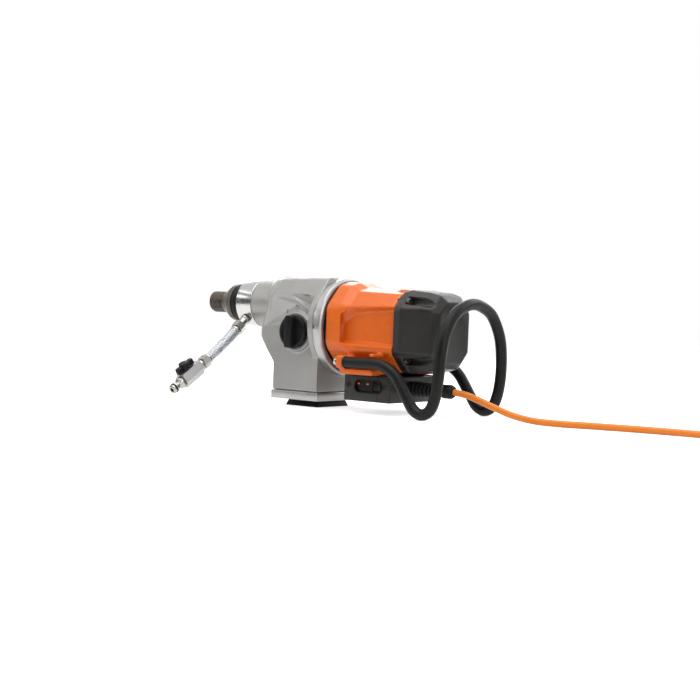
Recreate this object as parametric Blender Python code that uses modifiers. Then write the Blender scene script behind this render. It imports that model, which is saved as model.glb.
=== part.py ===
"""Core drill motor unit: a three-speed gearbox and a brush motor on one line, with a bow handle,
a switch box, a water collar with its hose and ball valve, and a mains lead.

The tool lies along X: its spindle points to -X and its lead leaves at +X. The gear knob faces -Y, +Z is
up, and the mounting foot and the two loops of the handle stand on Z = 0.
"""

import math

import bmesh
import bpy
from mathutils import Matrix, Vector

MM = 0.001
GAP = 0.3 * MM  # between pieces that touch, and round every shaft

# Axes
SPINDLE_Z = 145.5 * MM
MOTOR_Z = 116.5 * MM

# Spindle nose, from its tip backwards
TIP_X = -243 * MM
THREAD_RADIUS = 15.88 * MM  # 1 1/4"-7 UNC
THREAD_LENGTH = 28 * MM
CONE_LENGTH = 19 * MM
RIM_RADIUS = 27.9 * MM
RIM_WIDTH = 8 * MM
NOSE_SHAFT_RADIUS = 24.5 * MM
NOSE_SHAFT_LENGTH = 20 * MM
WATER_BORE_RADIUS = 6 * MM

# Water collar and housing neck
COLLAR_RADIUS = 36.2 * MM
COLLAR_LENGTH = 29.6 * MM
NECK_RADIUS = 36.2 * MM
NECK_LENGTH = 36 * MM
BEARING_SEAT_LENGTH = 20 * MM
SPINDLE_RADIUS = 14 * MM

# Gear housing
BODY_LENGTH = 114.5 * MM
BODY_TOP_Z = 186.5 * MM
BODY_HALF_WIDTH = 55.1 * MM
FLANGE_RADIUS = 70.5 * MM
FLANGE_WIDTH = 12 * MM
BASE_TOP_Z = 62 * MM
BASE_SETBACK = 30 * MM  # how far the base stands behind the front face
WALL = 5.5 * MM
CAVITY_FLOOR_Z = 84 * MM

# Base plate and dovetail foot
FOOT_HEIGHT = 10 * MM
FOOT_LENGTH = 59 * MM
FOOT_HALF_WIDTH = 35.2 * MM
DOVETAIL = 7 * MM
PLATE_HEIGHT = 12 * MM
PLATE_OVERHANG = 1.2 * MM

# Gears: modules, teeth and widths
GEAR_MODULE = 2.0 * MM
INPUT_MODULE = 1.5 * MM
# name, teeth on countershaft, on spindle
SPEEDS = (("first", 11, 27), ("second", 14, 24), ("third", 17, 21))
PINION_TEETH = 9
INPUT_TEETH = 27
GEAR_WIDTH = 12 * MM
GEAR_PITCH = 14 * MM  # from one speed to the next
BACKLASH = 0.09  # share of the tooth that is cut away

# Shifting
SELECTOR_Z = 107.6 * MM
SELECTOR_BEHIND_FRONT = 74 * MM
CRANK_RADIUS = 18 * MM
SLEEVE_WIDTH = 10 * MM
SLEEVE_RADIUS = 15.5 * MM
RAIL_Y = -36 * MM
RAIL_Z = 122 * MM
RAIL_RADIUS = 4.5 * MM
KNOB_RADIUS = 24 * MM
KNOB_BOSS_RADIUS = 28.5 * MM
KNOB_BOSS_HEIGHT = 5 * MM
KNOB_DEPTH = 16.5 * MM

# Gear cover, motor and rear cover
COVER_WIDTH = 13.4 * MM
COVER_WEB = 9 * MM
MOTOR_LENGTH = 113 * MM
STATOR_RADIUS = 46 * MM
STATOR_BORE = 30 * MM
STATOR_LENGTH = 56 * MM
REAR_COVER_LENGTH = 64 * MM
REAR_COVER_WALL = 4 * MM

# Handle
TUBE_RADIUS = 7.6 * MM
HANDLE_HALF_WIDTH = 75.7 * MM
HANDLE_CLAMP_Z = 70.2 * MM
HANDLE_BACK_X = 235.4 * MM
HANDLE_TOP_Z = 156.5 * MM

# Switch box and lead outlet
BOX_LENGTH = 80 * MM
BOX_HALF_WIDTH = 60 * MM
BOX_BOTTOM_Z = 17 * MM
BOX_HEIGHT = 36.5 * MM
BOX_WALL = 3 * MM
LEAD_Y = -10 * MM
LEAD_Z = 36.5 * MM
CABLE_RADIUS = 4.5 * MM

# Water hose, from the collar outwards
HOSE_START_ANGLE = 50  # degrees from straight down, towards the knob's side
HOSE_END_ANGLE = 58
HOSE_RADIUS = 7.6 * MM
HOSE_LENGTH = 74 * MM
NIPPLE_LENGTH = 13.5 * MM
FERRULE_LENGTH = 13 * MM
UNION_LENGTH = 6 * MM
VALVE_LENGTH = 40 * MM
VALVE_ACROSS_FLATS = 21 * MM

# Stations along X that follow from these lengths
RIM_X = TIP_X + THREAD_LENGTH + CONE_LENGTH
COLLAR_X = RIM_X + RIM_WIDTH + NOSE_SHAFT_LENGTH
NECK_X = COLLAR_X + COLLAR_LENGTH + GAP
BODY_X = NECK_X + NECK_LENGTH
BODY_END_X = BODY_X + BODY_LENGTH
BASE_X = BODY_X + BASE_SETBACK
COVER_X = BODY_END_X + GAP
COVER_END_X = COVER_X + COVER_WIDTH
MOTOR_X = COVER_END_X + 2.4 * MM  # the air outlet
MOTOR_END_X = MOTOR_X + MOTOR_LENGTH
REAR_X = MOTOR_END_X + GAP
REAR_END_X = REAR_X + REAR_COVER_LENGTH
BOX_X = MOTOR_X + 36 * MM
BOX_END_X = BOX_X + BOX_LENGTH
SELECTOR_X = BODY_X + SELECTOR_BEHIND_FRONT
SLEEVE_X = SELECTOR_X
FIRST_GEAR_X = BODY_X + 15 * MM
KNOB_BASE_Y = -(BODY_HALF_WIDTH + KNOB_BOSS_HEIGHT + GAP)
PLATE_TOP_Z = FOOT_HEIGHT + GAP + PLATE_HEIGHT

PARTS = "core_drill_motor"
CUTTERS = "cutters"


# ---------------------------------------------------------------- scene, materials and placing


def clear_scene():
    for obj in list(bpy.data.objects):
        bpy.data.objects.remove(obj, do_unlink=True)


def collection(name):
    found = bpy.data.collections.get(name)
    if found is None:
        found = bpy.data.collections.new(name)
        bpy.context.scene.collection.children.link(found)
    return found


def material(name, colour, roughness, metallic=0.0):
    found = bpy.data.materials.get(name)
    if found is None:
        found = bpy.data.materials.new(name)
        found.use_nodes = True
        shader = found.node_tree.nodes["Principled BSDF"]
        shader.inputs["Base Color"].default_value = (*colour, 1)
        shader.inputs["Roughness"].default_value = roughness
        shader.inputs["Metallic"].default_value = metallic
    return found


def cast_aluminium():
    return material("cast_aluminium", (0.36, 0.35, 0.33), 0.45, 0.6)


def machined_aluminium():
    return material("machined_aluminium", (0.75, 0.74, 0.72), 0.25, 1)


def phosphated_steel():
    return material("phosphated_steel", (0.07, 0.06, 0.055), 0.45, 0.7)


def ground_steel():
    return material("ground_steel", (0.55, 0.55, 0.56), 0.3, 1)


def nickel():
    return material("nickel", (0.7, 0.67, 0.6), 0.22, 1)


def orange_paint():
    return material("orange_paint", (0.76, 0.12, 0.02), 0.28)


def charcoal_plastic():
    return material("charcoal_plastic", (0.06, 0.055, 0.052), 0.5)


def black_plastic():
    return material("black_plastic", (0.015, 0.015, 0.015), 0.45)


def black_rubber():
    return material("black_rubber", (0.018, 0.018, 0.018), 0.6)


def orange_rubber():
    return material("orange_rubber", (0.8, 0.17, 0.03), 0.5)


def copper():
    return material("copper", (0.6, 0.25, 0.1), 0.35, 1)


def lamination_steel():
    return material("lamination_steel", (0.25, 0.25, 0.27), 0.5, 0.9)


def carbon():
    return material("carbon", (0.03, 0.03, 0.03), 0.7)


def steel_braid():
    return material("steel_braid", (0.55, 0.56, 0.58), 0.4, 0.9)


def board_green():
    return material("board_green", (0.02, 0.15, 0.06), 0.5)


def empty(name, location, parent=None):
    """A body's empty. It stands on its joint's axis, so that turning it turns its pieces."""
    obj = bpy.data.objects.new(name, None)
    obj.empty_display_size = 0.02
    collection(PARTS).objects.link(obj)
    obj.location = Vector(location) - (parent.matrix_world.translation if parent else Vector())
    obj.parent = parent
    bpy.context.view_layer.update()
    return obj


def add(name, data, finish, body, location=(0, 0, 0), rotation=None):
    """A named piece at a world location, carried by its body's empty. A body of None makes a cutter."""
    obj = bpy.data.objects.new(name, data)
    if body is None:
        collection(CUTTERS).objects.link(obj)
        obj.hide_render = True
        obj.display_type = "WIRE"
        obj.location = location
    else:
        collection(PARTS).objects.link(obj)
        obj.parent = body
        obj.location = Vector(location) - body.matrix_world.translation
        data.materials.append(finish)
    if rotation is not None:
        obj.rotation_euler = rotation.to_euler()
    return obj


def facing(direction):
    """The rotation that turns local Z to a direction."""
    return Vector(direction).to_track_quat("Z", "Y")


def boolean(obj, other, operation="DIFFERENCE"):
    modifier = obj.modifiers.new(operation.title() + " " + other.name, "BOOLEAN")
    modifier.operation = operation
    modifier.object = other
    return modifier


# ---------------------------------------------------------------- shapes


def box_mesh(name, size, bevel=0.0, segments=2):
    mesh = bpy.data.meshes.new(name)
    shape = bmesh.new()
    bmesh.ops.create_cube(shape, size=1)
    bmesh.ops.scale(shape, vec=size, verts=shape.verts)
    if bevel:
        bmesh.ops.bevel(
            shape, geom=shape.edges[:], offset=bevel, segments=segments, profile=0.5, affect="EDGES",
            material=-1
        )
    shape.to_mesh(mesh)
    shape.free()
    return mesh


def box(name, low, high, finish, body, bevel=0.0, rotation=None):
    """A block between two corners, with rounded edges where a bevel is given."""
    low, high = Vector(low), Vector(high)
    return add(name, box_mesh(name, high - low, bevel), finish, body, (low + high) / 2, rotation)


def smooth(mesh, angle=35):
    mesh.shade_smooth()
    mesh.set_sharp_from_angle(angle=math.radians(angle))


def turned(name, outer, finish, body, origin, direction=(1, 0, 0), inner=None, steps=24):
    """A profile of (distance along the axis, radius) points, turned. With no inner profile it is solid."""
    outer = [Vector((radius, 0, along)) for along, radius in outer]
    if inner is None:
        ends = (Vector((0, 0, outer[0].z)), Vector((0, 0, outer[-1].z)))
        points = [ends[1]] + outer[::-1] + [ends[0]]
    else:
        points = outer[::-1] + [Vector((radius, 0, along)) for along, radius in inner]
    closed = inner is not None
    mesh = bpy.data.meshes.new(name)
    edges = [(i, i + 1) for i in range(len(points) - 1)]
    if closed:
        edges.append((len(points) - 1, 0))
    mesh.from_pydata(points, edges, [])
    obj = add(name, mesh, finish, body, origin, facing(direction))
    screw = obj.modifiers.new("Turn", "SCREW")
    screw.axis = "Z"
    screw.steps = screw.render_steps = steps
    screw.use_merge_vertices = True
    screw.merge_threshold = 1e-6
    screw.use_smooth_shade = True
    return obj


def rod(name, radius, length, finish, body, origin, direction=(1, 0, 0), bore=None, steps=24):
    """A plain round bar or, with a bore, a ring."""
    inner = None if bore is None else [(0, bore), (length, bore)]
    return turned(name, [(0, radius), (length, radius)], finish, body, origin, direction, inner, steps)


def flat(name, outlines, thickness, finish, body, origin, direction=(1, 0, 0), up=(0, 0, 1)):
    """Flat outlines of (across, up) points, given a thickness along a direction; later ones are holes."""
    curve = bpy.data.curves.new(name, "CURVE")
    curve.dimensions = "2D"
    curve.fill_mode = "BOTH"
    curve.extrude = thickness / 2
    for outline in outlines:
        spline = curve.splines.new("POLY")
        spline.points.add(len(outline) - 1)
        for point, (across, height) in zip(spline.points, outline):
            point.co = (across, height, 0, 1)
        spline.use_cyclic_u = True
    forward = Vector(direction).normalized()
    upward = Vector(up)
    turn = Matrix((upward.cross(forward), upward, forward)).transposed().to_quaternion()
    return add(name, curve, finish, body, Vector(origin) + forward * thickness / 2, turn)


def tube(name, points, radius, finish, body, resolution=3):
    """A round bar along a list of points."""
    curve = bpy.data.curves.new(name, "CURVE")
    curve.dimensions = "3D"
    curve.bevel_depth = radius
    curve.bevel_resolution = resolution
    curve.use_fill_caps = True
    spline = curve.splines.new("POLY")
    spline.points.add(len(points) - 1)
    for point, place in zip(spline.points, points):
        point.co = (*place, 1)
    return add(name, curve, finish, body)


def smooth_route(points, step):
    """Points a given step apart on one smooth curve (centripetal Catmull-Rom) through chosen points."""
    points = [Vector(p) for p in points]
    chain = [2 * points[0] - points[1], *points, 2 * points[-1] - points[-2]]
    fine = []
    for a, b, c, d in zip(chain, chain[1:], chain[2:], chain[3:]):
        knots = [0.0]
        for p, q in ((a, b), (b, c), (c, d)):
            knots.append(knots[-1] + math.sqrt((q - p).length))
        for i in range(40):
            t = knots[1] + (knots[2] - knots[1]) * i / 40
            fine.append(_catmull(a, b, c, d, knots, t))
    fine.append(points[-1])
    length = sum((q - p).length for p, q in zip(fine, fine[1:]))
    count = max(2, round(length / step))
    route, travelled, target = [fine[0]], 0.0, length / count
    for p, q in zip(fine, fine[1:]):
        part = (q - p).length
        while part and travelled + part >= target * len(route) - 1e-9 and len(route) < count:
            route.append(p.lerp(q, (target * len(route) - travelled) / part))
        travelled += part
    route.append(fine[-1])
    return route


def _catmull(a, b, c, d, knots, t):
    def mix(p, q, low, high):
        return p * ((high - t) / (high - low)) + q * ((t - low) / (high - low))

    k0, k1, k2, k3 = knots
    ab, bc, cd = mix(a, b, k0, k1), mix(b, c, k1, k2), mix(c, d, k2, k3)
    return mix(mix(ab, bc, k0, k2), mix(bc, cd, k1, k3), k1, k2)


def rounded(corners, radius, steps=3):
    """A closed outline with every corner rounded. Each corner may carry its own radius as a third number."""
    outline = []
    count = len(corners)
    for i, corner in enumerate(corners):
        here = Vector(corner[:2])
        to_last = (Vector(corners[i - 1][:2]) - here).normalized()
        to_next = (Vector(corners[(i + 1) % count][:2]) - here).normalized()
        size = corner[2] if len(corner) > 2 else radius
        half = to_last.angle(to_next) / 2
        centre = here + (to_last + to_next).normalized() * (size / math.sin(half))
        start = here + to_last * (size / math.tan(half)) - centre
        end = here + to_next * (size / math.tan(half)) - centre
        turn = start.angle_signed(end)
        for k in range(steps + 1):
            outline.append(tuple(centre + Matrix.Rotation(-turn * k / steps, 2) @ start))
    return outline


def lofted(name, sections, finish, body, location=(0, 0, 0)):
    """A solid through closed YZ outlines with equal counts, given as (x, outline)."""
    mesh = bpy.data.meshes.new(name)
    shape = bmesh.new()
    rings = [[shape.verts.new((x, y, z)) for y, z in outline] for x, outline in sections]
    for first, second in zip(rings, rings[1:]):
        for i in range(len(first)):
            j = (i + 1) % len(first)
            shape.faces.new((first[i], first[j], second[j], second[i]))
    shape.faces.new(rings[0][::-1])
    shape.faces.new(rings[-1])
    bmesh.ops.recalc_face_normals(shape, faces=shape.faces[:])
    shape.to_mesh(mesh)
    shape.free()
    smooth(mesh)
    return add(name, mesh, finish, body, location)


def mirrored(half):
    """A full outline from its right half, listed from the top down."""
    return [(y, z, *more) for y, z, *more in half] + [(-y, z, *more) for y, z, *more in reversed(half)]


def gear_outline(teeth, module, phase=0.0):
    """A spur gear's outline: straight flanks between root and tip circles, cut back by the backlash. A tooth
    stands at the phase, an angle from straight up."""
    tip, root = teeth * module / 2 + 0.9 * module, teeth * module / 2 - 1.15 * module
    quarter = math.pi / (2 * teeth) * (1 - BACKLASH)
    outline = []
    for tooth in range(teeth):
        middle = phase + 2 * math.pi * tooth / teeth
        for radius, share in ((root, -1.45), (tip, -0.45), (tip, 0.45), (root, 1.45)):
            angle = middle + share * quarter
            outline.append((radius * math.sin(angle), radius * math.cos(angle)))
    return outline


def circle(radius, steps=24):
    return [
        (radius * math.sin(2 * math.pi * i / steps), radius * math.cos(2 * math.pi * i / steps))
        for i in range(steps)
    ]


def mesh_phase(teeth, mate_teeth, mate_phase, angle):
    """The phase that meshes a gear with its mate, which lies at an angle from straight up."""
    return angle + math.pi - math.pi / teeth - (mate_teeth / teeth) * (mate_phase - angle)


# ---------------------------------------------------------------- gearbox


def counter_axis():
    """Y and Z of the countershaft: the point at both gear pairs' centre distances."""
    to_spindle = (SPEEDS[0][1] + SPEEDS[0][2]) * GEAR_MODULE / 2
    to_motor = (PINION_TEETH + INPUT_TEETH) * INPUT_MODULE / 2
    apart = SPINDLE_Z - MOTOR_Z
    up = (to_motor**2 - to_spindle**2 + apart**2) / (2 * apart)
    return math.sqrt(to_motor**2 - up**2), MOTOR_Z + up


def gear_housing(body):
    """The cast housing: a round-topped body on a square base, a neck in front and a round flange behind."""
    side, top = BODY_HALF_WIDTH, BODY_TOP_Z
    front = mirrored((
        (20 * MM, top - 2 * MM, 12 * MM), (37 * MM, SPINDLE_Z + 18 * MM, 12 * MM),
        (side, SELECTOR_Z + 8 * MM, 14 * MM), (side, PLATE_TOP_Z + GAP, 2 * MM)
    ))
    rear = mirrored((
        (34 * MM, top, 14 * MM), (58 * MM, SPINDLE_Z + 12 * MM, 14 * MM),
        (side + 3 * MM, SELECTOR_Z + 6 * MM, 14 * MM), (side, PLATE_TOP_Z + GAP, 2 * MM)
    ))
    housing = lofted(
        "gear_housing",
        (
            (BODY_X, rounded(front, 0)), (BODY_END_X - FLANGE_WIDTH, rounded(rear, 0)),
            (BODY_END_X - 1 * MM, rounded(rear, 0))
        ),
        cast_aluminium(), body
    )
    neck = rod("neck", NECK_RADIUS, NECK_LENGTH + 5 * MM, None, None, (NECK_X, 0, SPINDLE_Z))
    flange = rod(
        "flange", FLANGE_RADIUS, FLANGE_WIDTH, None, None, (BODY_END_X - FLANGE_WIDTH, 0, MOTOR_Z), steps=48
    )
    boss = rod(
        "knob_boss", KNOB_BOSS_RADIUS, 20 * MM, None, None, (SELECTOR_X, KNOB_BASE_Y + GAP, SELECTOR_Z),
        (0, 1, 0)
    )
    for piece in (neck, flange, boss):
        boolean(housing, piece, "UNION")
    shoulder_z = SELECTOR_Z - 9.6 * MM
    wedge = flat(
        "front_slope",
        [[
            (-0.02, 0), (BASE_SETBACK, 0), (BASE_SETBACK, BASE_TOP_Z), (3 * MM, shoulder_z),
            (-0.02, shoulder_z)
        ]],
        0.2, None, None, (BODY_X, 0.1, 0), (0, -1, 0)
    )
    lower_z = PLATE_TOP_Z + GAP
    cuts = [solid_copy(wedge)]
    cavity_end = BODY_LENGTH + 1 * MM
    cuts.append(rod(
        "selector_bore", 7 * MM, 40 * MM, None, None, (SELECTOR_X, KNOB_BASE_Y - 5 * MM, SELECTOR_Z),
        (0, 1, 0)
    ))
    cuts.append(rod(
        "tunnel", SPINDLE_Z - MOTOR_Z + 6.5 * MM, cavity_end - 6.7 * MM, None, None,
        (BODY_X + 6.7 * MM, 0, SPINDLE_Z)
    ))
    narrow, wide, crank_reach = side - WALL - 3 * MM, side - WALL, 16 * MM
    cuts.append(box(
        "cavity", (BODY_X + 20 * MM, -narrow, CAVITY_FLOOR_Z),
        (BODY_END_X + 6 * MM, narrow, SPINDLE_Z - 18 * MM), None, None, 4 * MM
    ))
    cuts.append(box(
        "crank_room", (SELECTOR_X - crank_reach, -wide, CAVITY_FLOOR_Z + 6 * MM),
        (SELECTOR_X + crank_reach, -narrow + 10 * MM, SELECTOR_Z + CRANK_RADIUS + 5.5 * MM), None, None
    ))
    cuts.append(rod(
        "fork_room", 14 * MM, 2 * crank_reach + 2 * MM, None, None,
        (SELECTOR_X - crank_reach - 1 * MM, RAIL_Y, RAIL_Z)
    ))
    cuts.append(box(
        "base_hollow", (BASE_X + 7 * MM, -(side - 7 * MM), lower_z - 10 * MM),
        (BODY_END_X - 7 * MM, side - 7 * MM, CAVITY_FLOOR_Z - 8 * MM), None, None, 3 * MM
    ))
    cuts.append(rod(
        "bearing_seat", NECK_RADIUS - WALL, BEARING_SEAT_LENGTH + 12 * MM, None, None,
        (NECK_X - 1 * MM, 0, SPINDLE_Z)
    ))
    cuts.append(rod(
        "spindle_way", NOSE_SHAFT_RADIUS, NECK_LENGTH + 12 * MM, None, None, (NECK_X - 1 * MM, 0, SPINDLE_Z)
    ))
    y, z = counter_axis()
    cuts.append(rod("front_seat", 13 * MM + GAP, 10 * MM, None, None, (BODY_X + 4 * MM, y, z)))
    cuts.append(rod("pinion_room", 20 * MM, cavity_end - 13 * MM, None, None, (BODY_X + 13 * MM, y, z)))
    cuts.append(rod(
        "wheel_room", INPUT_TEETH * INPUT_MODULE / 2 + 3.5 * MM, 20 * MM, None, None,
        (BODY_END_X - 18 * MM, y, z)
    ))
    cuts.append(rod(
        "rail_socket", RAIL_RADIUS + GAP, 15 * MM, None, None, (BODY_X + 7.5 * MM, RAIL_Y, RAIL_Z), steps=16
    ))
    for cutter in cuts:
        boolean(housing, cutter)


def solid_copy(curve_object):
    """A curve made a mesh, with its loose caps welded, so that a Boolean can use it."""
    bpy.context.view_layer.update()
    graph = bpy.context.evaluated_depsgraph_get()
    mesh = bpy.data.meshes.new_from_object(curve_object.evaluated_get(graph))
    shape = bmesh.new()
    shape.from_mesh(mesh)
    bmesh.ops.remove_doubles(shape, verts=shape.verts, dist=1e-6)
    bmesh.ops.recalc_face_normals(shape, faces=shape.faces[:])
    shape.to_mesh(mesh)
    shape.free()
    name, matrix, parent = curve_object.name, curve_object.matrix_world.copy(), curve_object.parent
    finish = curve_object.data.materials[0] if curve_object.data.materials else None
    bpy.data.objects.remove(curve_object)
    solid = add(name, mesh, finish, parent)
    solid.matrix_world = matrix
    return solid


def base_and_foot(body):
    box(
        "base_plate", (BASE_X - PLATE_OVERHANG, -BODY_HALF_WIDTH - PLATE_OVERHANG, FOOT_HEIGHT + GAP),
        (BODY_END_X + PLATE_OVERHANG, BODY_HALF_WIDTH + PLATE_OVERHANG, PLATE_TOP_Z), machined_aluminium(),
        body, 1 * MM
    )
    half, height, lip = FOOT_HALF_WIDTH, FOOT_HEIGHT, 2 * MM
    outline = [
        (-half, 0), (half, 0), (half, lip), (half - DOVETAIL, height), (DOVETAIL - half, height),
        (-half, lip)
    ]
    middle = (BASE_X + BODY_END_X) / 2
    flat(
        "mounting_foot", [outline], FOOT_LENGTH, black_plastic(), body,
        (middle - FOOT_LENGTH / 2 - 2 * MM, 0, 0)
    )


def spindle(body):
    """The spindle and its threaded nose. Its water bore runs from the tip to a cross bore at the collar."""
    shaft_end = COVER_X + COVER_WEB - TIP_X
    rim, collar = RIM_X - TIP_X, COLLAR_X - TIP_X
    neck_end = NECK_X - TIP_X
    outer = [
        (0, THREAD_RADIUS - 1.5 * MM), (1.5 * MM, THREAD_RADIUS), (THREAD_LENGTH, THREAD_RADIUS),
        (THREAD_LENGTH + 1 * MM, THREAD_RADIUS + 1 * MM), (rim - 2 * MM, RIM_RADIUS - 1.5 * MM),
        (rim, RIM_RADIUS), (rim + RIM_WIDTH, RIM_RADIUS), (rim + RIM_WIDTH, NOSE_SHAFT_RADIUS),
        (collar + 8 * MM, NOSE_SHAFT_RADIUS), (collar + 8 * MM, NOSE_SHAFT_RADIUS - 6 * MM),
        (neck_end + 8 * MM, NOSE_SHAFT_RADIUS - 6 * MM), (neck_end + 8 * MM, SPINDLE_RADIUS),
        (shaft_end - COVER_WEB - 3 * MM, SPINDLE_RADIUS), (shaft_end - COVER_WEB - 3 * MM, 8 * MM),
        (shaft_end, 8 * MM)
    ]
    depth = collar + COLLAR_LENGTH / 2
    bore = [(0, WATER_BORE_RADIUS), (depth, WATER_BORE_RADIUS), (depth, 0)]
    shaft = turned("spindle", outer, phosphated_steel(), body, (TIP_X, 0, SPINDLE_Z))
    cutter = turned("water_bore", bore[:2], None, None, (TIP_X - 1 * MM, 0, SPINDLE_Z))
    cross = rod(
        "cross_bore", 3 * MM, 60 * MM, None, None, (TIP_X + depth - 4 * MM, 0, SPINDLE_Z - 30 * MM),
        (0, 0, 1)
    )
    boolean(shaft, cutter)
    boolean(shaft, cross)


def collar_and_seals(body, spindle_body):
    inner = NOSE_SHAFT_RADIUS - 6 * MM + GAP
    radius, length, lip = COLLAR_RADIUS, COLLAR_LENGTH, 1 * MM
    collar = turned(
        "water_collar", [(0, radius - lip), (lip, radius), (length - lip, radius), (length, radius - lip)],
        machined_aluminium(), body, (COLLAR_X, 0, SPINDLE_Z),
        inner=[
            (0, radius - 3 * MM), (8 * MM + GAP, radius - 3 * MM), (8 * MM + GAP, inner), (length, inner)
        ]
    )
    port = rod(
        "water_port", NIPPLE_ROOT, 40 * MM, None, None, (COLLAR_MIDDLE, 0, SPINDLE_Z), hose_direction(0)
    )
    boolean(collar, port)
    turned(
        "collar_seal", [(0, radius - 6 * MM), (3 * MM, radius - 3.4 * MM), (8 * MM, radius - 3.4 * MM)],
        black_rubber(), body, (COLLAR_X, 0, SPINDLE_Z),
        inner=[(0, NOSE_SHAFT_RADIUS + GAP), (8 * MM, NOSE_SHAFT_RADIUS + GAP)]
    )
    turned(
        "slinger",
        [(0, RIM_RADIUS - 1.2 * MM), (6 * MM, RIM_RADIUS - 1.2 * MM), (14 * MM, RIM_RADIUS + 0.6 * MM)],
        black_rubber(), spindle_body, (RIM_X + RIM_WIDTH + GAP, 0, SPINDLE_Z),
        inner=[(0, NOSE_SHAFT_RADIUS + GAP), (14 * MM, NOSE_SHAFT_RADIUS + GAP)]
    )


def bearing(name, bore, radius, width, body, place):
    """A sealed ball bearing as one ring."""
    rod(name, radius, width, ground_steel(), body, place, bore=bore + GAP, steps=24)


def gear_train(bodies):
    y, z = counter_axis()
    counter_angle = math.atan2(y, z - SPINDLE_Z)  # from the spindle's straight up, towards +Y
    motor_angle = math.atan2(-y, MOTOR_Z - z)
    shaft_start = BODY_X + 6 * MM
    phases = {}
    for index, (name, small, large) in enumerate(SPEEDS):
        x = FIRST_GEAR_X + index * GEAR_PITCH
        body = {
            "first": bodies["gear_first"], "second": bodies["spindle"], "third": bodies["gear_third"]
        }[name]
        hole = SPINDLE_RADIUS + GAP
        flat(
            f"spindle_gear_{name}", [gear_outline(large, GEAR_MODULE), circle(hole)], GEAR_WIDTH,
            ground_steel(), body, (x, 0, SPINDLE_Z)
        )
        phases[name] = mesh_phase(small, large, 0.0, counter_angle)
    shaft = rod(
        "countershaft", 8 * MM, COVER_X + COVER_WEB - shaft_start, ground_steel(), bodies["countershaft"],
        (shaft_start, y, z), steps=24
    )
    for index, (name, small, _) in enumerate(SPEEDS):
        x = FIRST_GEAR_X + index * GEAR_PITCH - 0.5 * MM
        pinion = flat(
            f"pinion_{name}", [gear_outline(small, GEAR_MODULE, phases[name])], GEAR_WIDTH + 1 * MM, None,
            None, (x, y, z)
        )
        boolean(shaft, solid_copy(pinion), "UNION")
    wheel_x = BODY_END_X - 15 * MM
    pinion_phase = 0.0
    wheel_phase = mesh_phase(INPUT_TEETH, PINION_TEETH, pinion_phase, motor_angle + math.pi)
    flat(
        "counter_gear", [gear_outline(INPUT_TEETH, INPUT_MODULE, wheel_phase), circle(8 * MM + GAP, 24)],
        GEAR_WIDTH, ground_steel(), bodies["countershaft"], (wheel_x, y, z)
    )
    return wheel_x


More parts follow.
